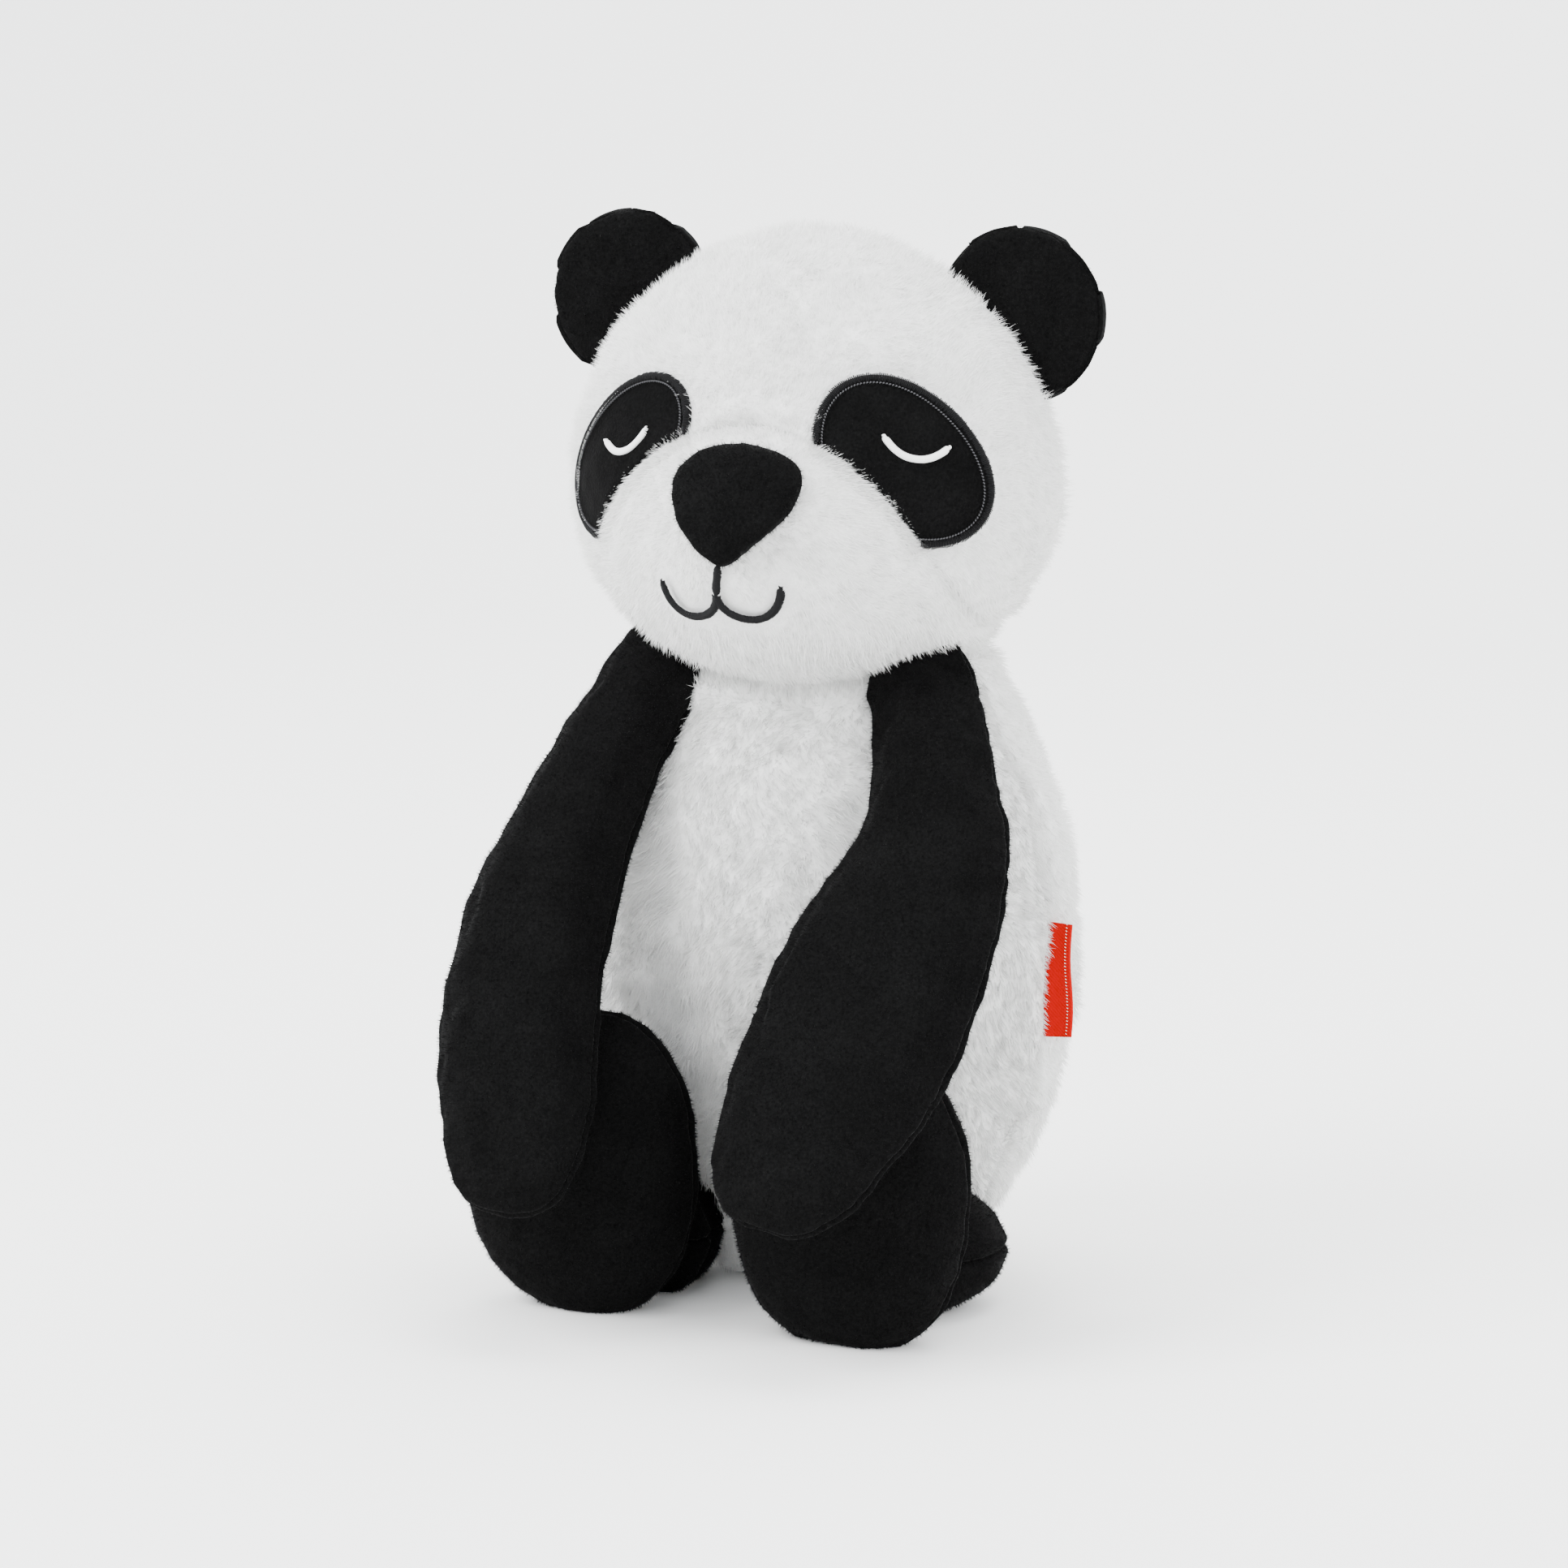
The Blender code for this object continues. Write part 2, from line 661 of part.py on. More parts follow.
def make_gather(name, radius, place, side):
    """The gathered end of a limb's cover, where it is sewn to the body."""
    bm = bmesh.new()
    bmesh.ops.create_uvsphere(bm, u_segments=GATHER_STEPS[0], v_segments=GATHER_STEPS[1], radius=radius)
    gather = add_object(name, bm, "black_velour")
    gather.location = (place[0] * side, place[1], place[2])


def make_leg(name, side):
    foot_x, foot_y, _ = FOOT_CENTRES[side]
    ankle = bpy.data.objects.new(f"{name}_ankle_pivot", None)
    ankle.location = (foot_x * side, foot_y + FOOT_HALF_SIZES[1], ANKLE_Z)
    panda.objects.link(ankle)
    home = ankle.location.copy()

    def on_ankle(part):
        part.data.transform(Matrix.Translation(-home))
        part.parent = ankle

    sole_half = half_space(f"{name}_sole_side", 1, foot_y - SEAM_GAP, -1)
    upper_half = half_space(f"{name}_upper_side", 1, foot_y + SEAM_GAP, 1)
    for label, half in (("sole", sole_half), ("upper", upper_half)):
        form = formed(foot_shape(side), LIMB_STEPS, side)
        panel = add_object(f"{name}_foot_{label}_panel", form, "black_velour")
        shell(panel, VELOUR_CLOTH)
        keep(panel, half)
        on_ankle(panel)
    foot_fill = formed(foot_shape(side), LIMB_STEPS, side, shift=-VELOUR_CLOTH - FILL_GAP)
    on_ankle(add_object(f"{name}_foot_stuffing", foot_fill, "polyester_fill"))
    top_half = half_space(f"{name}_thigh_top_side", 2, THIGH_Z + SEAM_GAP, 1)
    low_half = half_space(f"{name}_thigh_low_side", 2, THIGH_Z - SEAM_GAP, -1)
    for label, half in (("top", top_half), ("under", low_half)):
        form = formed(thigh_shape(side), SMALL_STEPS, side)
        panel = add_object(f"{name}_thigh_{label}_panel", form, "black_velour")
        shell(panel, VELOUR_CLOTH)
        keep(panel, half)
    thigh_fill = formed(thigh_shape(side), SMALL_STEPS, side, shift=-VELOUR_CLOTH - FILL_GAP)
    add_object(f"{name}_thigh_stuffing", thigh_fill, "polyester_fill")
    make_gather(f"{name}_hip_gather", HIP_GATHER_RADIUS, HIP_GATHER_PLACE, side)


def make_label():
    half_width = smooth_value(BODY_PROFILE, LABEL_CENTRE_Z)
    forward = (BODY_CENTRE_Y - BODY_SEAM_Y) / (half_width * BODY_DEPTH_SHARE)
    root_x = half_width * math.sqrt(1 - forward**2) + 3 * FIT_GAP
    bm = bmesh.new()
    bmesh.ops.create_cube(bm, size=1.0)
    bmesh.ops.scale(bm, vec=(LABEL_REACH, LABEL_THICKNESS, LABEL_HEIGHT), verts=bm.verts)
    bmesh.ops.translate(bm, verts=bm.verts, vec=(LABEL_REACH / 2, 0.0, 0.0))
    label = add_object("side_label", bm, "woven_label_red")
    label.location = (root_x, BODY_SEAM_Y, LABEL_CENTRE_Z)


def main():
    seams = {
        "head_front": half_space("front_of_head_seam", 1, HEAD_SEAM_Y - SEAM_GAP, -1),
        "head_back": half_space("back_of_head_seam", 1, HEAD_SEAM_Y + SEAM_GAP, 1),
        "body_front": half_space("front_of_body_seam", 1, BODY_SEAM_Y - SEAM_GAP, -1),
        "body_back": half_space("back_of_body_seam", 1, BODY_SEAM_Y + SEAM_GAP, 1),
        "left": half_space("left_of_back_seam", 0, SEAM_GAP, 1),
        "right": half_space("right_of_back_seam", 0, -SEAM_GAP, -1),
        "neck": sphere_cutter("neck_socket", (0.0, 0.0, NECK_Z), NECK_SOCKET_RADIUS, NECK_STEPS),
        "nape": sphere_cutter("nape_dish", NAPE_DISH_CENTRE, NAPE_DISH_RADIUS, NAPE_STEPS),
        "ear_root": add_cutter("ear_root", formed(head_shape, HEAD_STEPS, shift=EAR_ROOT_GAP)),
    }
    muzzle_seam = make_head(seams)
    for name, side in SIDES.items():
        make_eye(name, side, muzzle_seam)
        make_ear(name, side, seams)
        make_arm(name, side)
        make_leg(name, side)
    make_nose_and_mouth()
    make_neck()
    make_body(seams)
    make_label()


clear_scene()
panda = new_collection("plush_panda")
cutters = new_collection("cutters")
materials = {name: new_material(name) for name in COLOURS}
main()
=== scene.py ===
"""Looks of a seated plush panda: a white pile head and body, and black velour ears, arms and legs.

Metres, +Z up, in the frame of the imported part. Every soft piece here is worked out again from the
part's own sizes, with seams, folds and pile, and rides on the body that carries the piece it stands for.
"""

from __future__ import annotations

import logging
import math
from dataclasses import dataclass
from enum import Enum
from typing import Callable, Iterable, Sequence

import bmesh
import bpy
import numpy as np
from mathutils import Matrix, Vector
from mathutils.kdtree import KDTree

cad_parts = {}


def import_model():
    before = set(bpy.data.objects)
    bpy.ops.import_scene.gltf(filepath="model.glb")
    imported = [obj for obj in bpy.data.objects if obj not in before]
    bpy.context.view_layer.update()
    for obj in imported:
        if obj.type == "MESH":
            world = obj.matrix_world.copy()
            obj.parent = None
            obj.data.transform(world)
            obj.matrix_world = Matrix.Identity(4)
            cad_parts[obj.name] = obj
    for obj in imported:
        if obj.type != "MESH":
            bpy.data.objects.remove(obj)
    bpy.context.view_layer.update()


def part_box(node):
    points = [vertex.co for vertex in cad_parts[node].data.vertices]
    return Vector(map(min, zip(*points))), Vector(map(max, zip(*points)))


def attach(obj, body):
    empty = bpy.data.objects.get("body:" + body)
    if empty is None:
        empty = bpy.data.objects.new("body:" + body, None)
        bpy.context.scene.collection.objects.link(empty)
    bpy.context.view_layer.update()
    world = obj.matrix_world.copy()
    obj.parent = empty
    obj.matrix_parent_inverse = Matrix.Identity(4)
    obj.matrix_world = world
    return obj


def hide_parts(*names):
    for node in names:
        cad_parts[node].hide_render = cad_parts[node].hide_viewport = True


log = logging.getLogger("panda")

MM = 0.001
FUR_CLOTH = 1.6 * MM
THIN_CLOTH = 1.2 * MM
Points = np.ndarray
Shape = Callable[[Points], Points]


class Side(Enum):
    """One side of the toy, as the sign of X there."""

    LEFT = 1
    RIGHT = -1

    @property
    def label(self) -> str:
        """The side's name as it starts a node's name."""
        return self.name.lower()


# ---------------------------------------------------------------- finishes


def linear(colour: str) -> tuple[float, float, float, float]:
    """A colour as the shaders take it.

    Args:
        colour: an sRGB colour as "#rrggbb".

    Returns:
        Linear red, green and blue, and an alpha of one.
    """
    values = [int(colour[i : i + 2], 16) / 255 for i in (1, 3, 5)]
    red, green, blue = (v / 12.92 if v <= 0.04045 else ((v + 0.055) / 1.055) ** 2.4 for v in values)
    return red, green, blue, 1.0


def add_node(
    tree: bpy.types.NodeTree,
    kind: str,
    settings: dict[str, object] | None = None,
    inputs: dict[str, object] | None = None,
) -> bpy.types.Node:
    """Adds one shader node.

    Args:
        tree: the material's node tree.
        kind: the node's type name.
        settings: attributes of the node itself.
        inputs: for each named input, a value or the output socket that drives it.

    Returns:
        The new node.
    """
    node = tree.nodes.new(kind)
    for name, value in (settings or {}).items():
        setattr(node, name, value)
    for name, value in (inputs or {}).items():
        if isinstance(value, bpy.types.NodeSocket):
            tree.links.new(value, node.inputs[name])
        else:
            node.inputs[name].default_value = value
    return node


@dataclass(frozen=True)
class Finish:
    """A matt textile surface. Its sheen is the light that stray fibre ends catch at a grazing angle."""

    name: str
    colour: str
    roughness: float
    sheen: float = 0.0
    sheen_roughness: float = 0.5
    sheen_tint: str = "#ffffff"
    ior: float = 1.5

    def build(self) -> bpy.types.Material:
        """Makes the material, with the detail that the kind of textile adds."""
        material = bpy.data.materials.new(self.name)
        material.use_nodes = True
        tree = material.node_tree
        shader = tree.nodes["Principled BSDF"]
        shader.inputs["Base Color"].default_value = linear(self.colour)
        shader.inputs["Roughness"].default_value = self.roughness
        shader.inputs["IOR"].default_value = self.ior
        shader.inputs["Sheen Weight"].default_value = self.sheen
        shader.inputs["Sheen Roughness"].default_value = self.sheen_roughness
        shader.inputs["Sheen Tint"].default_value = linear(self.sheen_tint)
        self.detail(tree, shader)
        return material

    def detail(self, tree: bpy.types.NodeTree, shader: bpy.types.Node) -> None:
        """Adds nothing: a plain textile."""


@dataclass(frozen=True)
class MottledFinish(Finish):
    """A textile whose colour and surface vary in grains of one size and patches of another.

    Cloud is how much the patches count, from 0 to 1.
    """

    dark: str = "#101010"
    grain: float = 1.0 * MM
    patch: float = 10.0 * MM
    relief: float = 0.3 * MM
    strength: float = 0.4
    cloud: float = 1.0
    dark_below: float = 0.12
    light_above: float = 0.42

    def detail(self, tree: bpy.types.NodeTree, shader: bpy.types.Node) -> None:
        """Mixes the two colours by grain and patch, and raises the grain.

        Args:
            tree: the material's node tree.
            shader: the node that takes the colour and the surface.
        """
        place = add_node(tree, "ShaderNodeTexCoord").outputs["Object"]
        grain, patch = (
            add_node(tree, "ShaderNodeTexNoise", {}, {"Vector": place, "Scale": 1 / size, "Detail": d, "Roughness": r})
            for size, d, r in ((self.grain, 3.0, 0.6), (self.patch, 2.0, 0.5))
        )
        share = add_node(
            tree,
            "ShaderNodeMath",
            {"operation": "MULTIPLY_ADD"},
            {0: patch.outputs["Fac"], 1: self.cloud, 2: (1 - self.cloud) / 2},
        )
        both = add_node(
            tree, "ShaderNodeMath", {"operation": "MULTIPLY"}, {0: grain.outputs["Fac"], 1: share.outputs["Value"]}
        )
        ramp = add_node(tree, "ShaderNodeValToRGB", {}, {"Fac": both.outputs["Value"]})
        for stop, place_on_ramp, colour in zip(
            ramp.color_ramp.elements, (self.dark_below, self.light_above), (self.dark, self.colour)
        ):
            stop.position = place_on_ramp
            stop.color = linear(colour)
        tree.links.new(ramp.outputs["Color"], shader.inputs["Base Color"])
        bump = add_node(
            tree,
            "ShaderNodeBump",
            {},
            {"Strength": self.strength, "Distance": self.relief, "Height": grain.outputs["Fac"]},
        )
        tree.links.new(bump.outputs["Normal"], shader.inputs["Normal"])


@dataclass(frozen=True)
class TwillFinish(Finish):
    """A woven ribbon: fine ribs across it, lit from the side by their own relief."""

    rib: float = 0.55 * MM
    relief: float = 0.12 * MM

    def detail(self, tree: bpy.types.NodeTree, shader: bpy.types.Node) -> None:
        """Raises slanting ribs.

        Args:
            tree: the material's node tree.
            shader: the node that takes the surface.
        """
        place = add_node(tree, "ShaderNodeTexCoord").outputs["Object"]
        ribs = add_node(
            tree,
            "ShaderNodeTexWave",
            {"wave_type": "BANDS", "bands_direction": "DIAGONAL"},
            {"Vector": place, "Scale": 0.31 / self.rib, "Distortion": 0.4},
        )
        bump = add_node(
            tree, "ShaderNodeBump", {}, {"Strength": 0.6, "Distance": self.relief, "Height": ribs.outputs["Fac"]}
        )
        tree.links.new(bump.outputs["Normal"], shader.inputs["Normal"])


# White pile: the knitted backing between the fibres is a shade darker than their lit tips
PILE_BACKING = MottledFinish(
    "white_pile_backing", "#e0e0de", 0.95, 0.3, 0.5, dark="#cacac8", grain=0.7 * MM, patch=7 * MM, relief=0.4 * MM
)
# Pile fibres: matt polyester, with a little sheen that gives the soft bright rim
PILE_FIBRE = Finish("white_pile_fibre", "#e3e3e1", 0.8, 0.25, 0.4)
# The belly has the same pile, painted greyer as painted shade for the shade that falls between the arms
BELLY_FIBRE_PAINTED_SHADE = Finish("white_body_pile_fibre", "#cfcfcd", 0.85, 0.2, 0.4)
# Velour: near black, with a grey bloom at grazing angles from its upright pile
VELOUR = MottledFinish(
    "black_velour", "#0f0f0f", 0.95, 0.05, 0.3, "#a0a0a0", 1.1, "#030303", 0.8 * MM, 14 * MM, 0.3 * MM, 0.8, 0.35
)
# Velour pile: the same black, a little lighter at the fibre ends
VELOUR_FIBRE = Finish("black_velour_fibre", "#0c0c0c", 0.9, 0.06, 0.3, "#a0a0a0", 1.1)
# Rayon embroidery thread: smoother than cloth, so it keeps a soft shine
BLACK_THREAD = Finish("black_embroidery_thread", "#0e0e0f", 0.55, 0.03, 0.4, ior=1.18)
GREY_THREAD = Finish("dark_grey_top_stitch_thread", "#424244", 0.55, 0.05, 0.4, ior=1.2)
WHITE_THREAD = Finish("white_embroidery_thread", "#f0f0ee", 0.45, 0.1, 0.4)
RED_RIBBON = TwillFinish("red_woven_ribbon", "#a80003", 0.8, 0.0, 0.4, ior=1.05)
CREAM_SELVEDGE = TwillFinish("cream_ribbon_selvedge", "#e9e2d2", 0.7, 0.1, 0.4)
BACKDROP = Finish("matt_paper_backdrop", "#f6f6f4", 1.0, ior=1.0)


class Materials:
    """Builds each finish once."""

    def __init__(self) -> None:
        """Starts with none built."""
        self._built: dict[str, bpy.types.Material] = {}

    def get(self, finish: Finish) -> bpy.types.Material:
        """The material for a finish."""
        if finish.name not in self._built:
            self._built[finish.name] = finish.build()
        return self._built[finish.name]


MATERIALS = Materials()


# ---------------------------------------------------------------- meshes


def unit_ball(detail: int) -> tuple[Points, np.ndarray]:
    """A sphere of even triangles.

    Args:
        detail: how many times an icosahedron is divided.

    Returns:
        Its points and its triangles.
    """
    bm = bmesh.new()
    bmesh.ops.create_icosphere(bm, subdivisions=detail, radius=1.0)
    points = np.array([v.co for v in bm.verts])
    faces = np.array([[v.index for v in f.verts] for f in bm.faces])
    bm.free()
    return points, faces


def make_object(
    name: str, points: Points, faces: Iterable[Sequence[int]], finish: Finish, smooth: bool = True
) -> bpy.types.Object:
    """A mesh object in the scene.

    Args:
        name: the piece's name.
        points: its vertices.
        faces: vertex numbers of each face.
        finish: what it is made of.
        smooth: whether its shading is smooth.

    Returns:
        The new object.
    """
    mesh = bpy.data.meshes.new(name)
    mesh.from_pydata(points.tolist(), [], [tuple(int(i) for i in f) for f in faces])
    mesh.update()
    if smooth:
        mesh.shade_smooth()
    mesh.materials.append(MATERIALS.get(finish))
    piece = bpy.data.objects.new(name, mesh)
    bpy.context.scene.collection.objects.link(piece)
    return piece


def unit(vectors: Points) -> Points:
    """The vectors, each made one long."""
    return vectors / np.maximum(np.linalg.norm(vectors, axis=1, keepdims=True), 1e-12)


def normals_of(points: Points, faces: np.ndarray) -> Points:
    """Unit normals of a closed mesh's points.

    Args:
        points: its vertices.
        faces: its triangles.

    Returns:
        One normal for each point.
    """
    a, b, c = (points[faces[:, k]] for k in range(3))
    across = np.cross(b - a, c - a)
    total = np.zeros_like(points)
    for k in range(3):
        np.add.at(total, faces[:, k], across)
    return unit(total)


def outward(points: Points, faces: np.ndarray) -> np.ndarray:
    """The faces, turned over if the closed mesh is inside out."""
    a, b, c = (points[faces[:, k]] for k in range(3))
    volume = np.einsum("ij,ij->i", a, np.cross(b, c)).sum()
    return faces if volume > 0 else faces[:, ::-1]


def ripple(points: Points, size: float, seed: int, octaves: int = 2) -> np.ndarray:
    """Smooth noise, worked out from sums of slanting waves.

    Args:
        points: where to read it.
        size: the width of its bumps, in metres.
        seed: which noise.
        octaves: how many finer layers.

    Returns:
        Values from about -1 to 1, one for each point.
    """
    rng = np.random.default_rng(seed)
    total = np.zeros(len(points))
    weight = 0.0
    for octave in range(octaves):
        strength = 0.55**octave
        for _ in range(9):
            direction = rng.normal(size=3)
            direction *= 2 * math.pi * 2**octave / (size * 1.8) / np.linalg.norm(direction)
            bend = rng.normal(size=3) * 2 * math.pi / (size * 5)
            phase, turn = rng.uniform(0, 2 * math.pi, 2)
            total += strength * np.sin(points @ direction + phase + 1.6 * np.sin(points @ bend + turn))
        weight += strength * 3.2
    return total / weight


def smooth_step(value: np.ndarray, low: float, high: float) -> np.ndarray:
    """From 0 at low to 1 at high, level at both ends."""
    t = np.clip((value - low) / (high - low), 0, 1)
    return t * t * (3 - 2 * t)


def curve_value(rows: Sequence[tuple[float, float]], at: np.ndarray) -> np.ndarray:
    """Values on a smooth curve through a few of them.

    Args:
        rows: (place, value) pairs in order of place.
        at: the places wanted.

    Returns:
        The value at each place.
    """
    places = np.array([r[0] for r in rows])
    values = np.array([r[1] for r in rows])
    before = np.maximum(np.arange(len(rows)) - 1, 0)
    after = np.minimum(np.arange(len(rows)) + 1, len(rows) - 1)
    slopes = (values[after] - values[before]) / (places[after] - places[before])
    at = np.clip(at, places[0], places[-1])
    i = np.clip(np.searchsorted(places, at, side="right") - 1, 0, len(places) - 2)
    span = places[i + 1] - places[i]
    t = (at - places[i]) / span
    return (
        (2 * t**3 - 3 * t**2 + 1) * values[i]
        + (t**3 - 2 * t**2 + t) * span * slopes[i]
        + (3 * t**2 - 2 * t**3) * values[i + 1]
        + (t**3 - t**2) * span * slopes[i + 1]
    )


def span(*nodes: str) -> tuple[Vector, Vector]:
    """Lowest and highest corner of several CAD nodes together."""
    boxes = [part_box(node) for node in nodes]
    low = Vector([min(b[0][k] for b in boxes) for k in range(3)])
    high = Vector([max(b[1][k] for b in boxes) for k in range(3)])
    return low, high


@dataclass
class Form:
    """A closed soft form: points and triangles, with normals worked out when asked for."""

    points: Points
    faces: np.ndarray

    @classmethod
    def pressed(cls, shape: Shape, detail: int) -> "Form":
        """A ball pressed into a shape."""
        ball, faces = unit_ball(detail)
        points = shape(ball)
        return cls(points, outward(points, faces))

    def normals(self) -> Points:
        """The form's unit normals."""
        return normals_of(self.points, self.faces)

    def raised(self, height: np.ndarray) -> "Form":
        """The form with each point moved along its normal."""
        return Form(self.points + self.normals() * height[:, None], self.faces)

    def part(self, chosen: np.ndarray) -> np.ndarray:
        """The faces whose centres are chosen by a mask over faces."""
        return self.faces[chosen]

    def centres(self) -> Points:
        """The middle of each face."""
        return self.points[self.faces].mean(axis=1)


def panel_from(name: str, form: Form, chosen: np.ndarray, finish: Finish, thickness: float) -> bpy.types.Object:
    """One sewn panel of a form, as a cloth with thickness.

    Args:
        name: the piece's name.
        form: the whole form.
        chosen: a mask over its faces.
        finish: what it is made of.
        thickness: the cloth's thickness.

    Returns:
        The new piece.
    """
    faces = form.part(chosen)
    used, index = np.unique(faces, return_inverse=True)
    piece = make_object(name, form.points[used], index.reshape(faces.shape), finish)
    cloth = piece.modifiers.new("cloth", "SOLIDIFY")
    cloth.thickness = thickness
    cloth.offset = -1.0
    return piece


# ---------------------------------------------------------------- pile


@dataclass(frozen=True)
class Pile:
    """Standing fibres of a pile fabric, each a closed tapering spike."""

    per_cm2: float
    length: float
    width: float
    lean: float
    finish: Finish
    tuft: float = 3.0 * MM
    gather: float = 0.45
    seed: int = 1

    def grow(
        self,
        name: str,
        form: Form,
        chosen: np.ndarray,
        comb: Callable[[Points, Points], Points],
        height: Callable[[Points], np.ndarray],
    ) -> bpy.types.Object:
        """Covers part of a form with fibres.

        Args:
            name: the piece's name.
            form: the form they stand on.
            chosen: a mask over its faces.
            comb: gives the way fibres lie at points with normals.
            height: gives the share of the full length that fibres have at points, 0 for none.

        Returns:
            The new piece.
        """
        rng = np.random.default_rng(self.seed)
        faces = form.part(chosen)
        normals = form.normals()
        a, b, c = (form.points[faces[:, k]] for k in range(3))
        areas = np.linalg.norm(np.cross(b - a, c - a), axis=1) / 2
        count = int(areas.sum() * 1e4 * self.per_cm2)
        pick = rng.choice(len(faces), size=count, p=areas / areas.sum())
        u, v = rng.random(count), rng.random(count)
        flip = u + v > 1
        u[flip], v[flip] = 1 - u[flip], 1 - v[flip]
        weights = np.stack((1 - u - v, u, v), axis=1)
        roots = np.einsum("ij,ijk->ik", weights, form.points[faces[pick]])
        ups = unit(np.einsum("ij,ijk->ik", weights, normals[faces[pick]]))
        share = height(roots)
        kept = share > 0.05
        roots, ups, share = roots[kept], ups[kept], share[kept]
        lie = comb(roots, ups)
        lie = lie + rng.normal(scale=0.35, size=lie.shape)
        lie = unit(lie - ups * np.einsum("ij,ij->i", lie, ups)[:, None])
        lean = self.lean * (1 + rng.normal(scale=0.22, size=len(roots)))[:, None]
        along = ups * np.cos(lean) + lie * np.sin(lean)
        length = (self.length * share * rng.uniform(0.7, 1.15, len(roots)))[:, None]
        tips = self._gathered(roots, roots + along * length, rng)
        return self._spikes(name, roots - ups * 0.3 * MM, tips, ups, rng)

    def _gathered(self, roots: Points, tips: Points, rng: np.random.Generator) -> Points:
        """Draws the tips together into tufts.

        Args:
            roots: where the fibres stand.
            tips: where they end.
            rng: the source of chance.

        Returns:
            The moved tips.
        """
        count = max(int(len(roots) * 0.18 * (1.0 * MM / self.tuft) ** 0.5), 8)
        heads = rng.choice(len(roots), size=count, replace=False)
        tree = KDTree(count)
        for i, k in enumerate(heads):
            tree.insert(roots[k], i)
        tree.balance()
        drawn = tips.copy()
        for i in range(len(roots)):
            _, head, far = tree.find(roots[i])
            if far < self.tuft:
                drawn[i] += (tips[heads[head]] - tips[i]) * self.gather * rng.random()
        return drawn

    def _spikes(
        self, name: str, roots: Points, tips: Points, ups: Points, rng: np.random.Generator
    ) -> bpy.types.Object:
        """Builds the spikes as one mesh.

        Args:
            name: the piece's name.
            roots: where they stand.
            tips: where they end.
            ups: the surface's normal at each root.
            rng: the source of chance.

        Returns:
            The new piece.
        """
        along = unit(tips - roots)
        beside = unit(np.cross(along, ups + 0.01))
        third = np.cross(along, beside)
        turn = rng.uniform(0, 2 * math.pi, len(roots))
        radius = self.width / 2 * rng.uniform(0.75, 1.2, len(roots))
        corners = []
        for k in range(3):
            angle = turn + 2 * math.pi * k / 3
            arm = beside * np.cos(angle)[:, None] + third * np.sin(angle)[:, None]
            corners.append(roots + arm * radius[:, None])
        points = np.stack((*corners, tips), axis=1).reshape(-1, 3)
        base = np.arange(len(roots))[:, None] * 4
        spike = np.array([[0, 1, 3], [1, 2, 3], [2, 0, 3], [2, 1, 0]])
        faces = (base[:, :, None] + spike[None]).reshape(-1, 3)
        return make_object(name, points, outward_spikes(points, faces), self.finish, smooth=False)


def outward_spikes(points: Points, faces: np.ndarray) -> np.ndarray:
    """Spikes wound so that their faces look out, judged on the first of them."""
    first = faces[:4]
    a, b, c = (points[first[:, k]] for k in range(3))
    middle = points[:4].mean(axis=0)
    volume = np.einsum("ij,ij->i", a - middle, np.cross(b - middle, c - middle)).sum()
    return faces if volume > 0 else faces[:, ::-1]


# ---------------------------------------------------------------- sewn lines


# A thread's rings: how far across the line each lies, and how high on the arch. The ends dip into the cloth.
THREAD_RINGS = ((-1.0, -0.6), (-0.8, 0.15), (-0.4, 0.8), (0.0, 1.0), (0.4, 0.8), (0.8, 0.15), (1.0, -0.6))
THREAD_SIDES = 6


@dataclass(frozen=True)
class Embroidery:
    """A line of satin stitches: threads laid side by side across a path, arched over it.

    Ragged is the share by which the threads' lengths differ.
    """

    width: float
    pitch: float
    thread: float
    finish: Finish
    arch: float = 0.35 * MM
    slant: float = 0.0
    ragged: float = 0.0

    def sew(self, name: str, path: Points, ups: Points) -> bpy.types.Object:
        """Lays the threads along a path.

        Args:
            name: the piece's name.
            path: points along the line, close together.
            ups: the surface's normal at each.

        Returns:
            The new piece.
        """
        steps = np.linalg.norm(np.diff(path, axis=0), axis=1)
        run = np.concatenate(([0.0], np.cumsum(steps)))
        count = max(int(run[-1] / self.pitch), 2)
        at = np.linspace(0, run[-1], count)
        places = np.stack([np.interp(at, run, path[:, k]) for k in range(3)], axis=1)
        up = unit(np.stack([np.interp(at, run, ups[:, k]) for k in range(3)], axis=1))
        along = unit(np.gradient(places, axis=0))
        across = unit(np.cross(up, along) + along * self.slant)
        taper = np.clip(2 * np.minimum(at, run[-1] - at) / self.width, 0.5, 1.0)
        taper *= 1 + self.ragged * np.random.default_rng(7).uniform(-1, 1, count)
        points, faces = [], []
        for place, above, over, thin in zip(places, up, across, taper):
            ring_along = np.cross(over, above)
            start = len(points)
            for share, rise in THREAD_RINGS:
                middle = place + over * share * self.width / 2 * thin + above * rise * self.arch
                for k in range(THREAD_SIDES):
                    angle = 2 * math.pi * k / THREAD_SIDES
                    points.append(middle + (ring_along * math.cos(angle) + above * math.sin(angle)) * self.thread / 2)
            rings = [start + i * THREAD_SIDES for i in range(len(THREAD_RINGS))]
            for low, high in zip(rings, rings[1:]):
                for k in range(THREAD_SIDES):
                    j = (k + 1) % THREAD_SIDES
                    faces.append((low + k, low + j, high + j, high + k))
            faces.append(tuple(start + k for k in reversed(range(THREAD_SIDES))))
            faces.append(tuple(rings[-1] + k for k in range(THREAD_SIDES)))
        piece = make_object(name, np.array(points), faces, self.finish)
        bm = bmesh.new()
        bm.from_mesh(piece.data)
        bmesh.ops.recalc_face_normals(bm, faces=bm.faces)
        bm.to_mesh(piece.data)
        bm.free()
        return piece


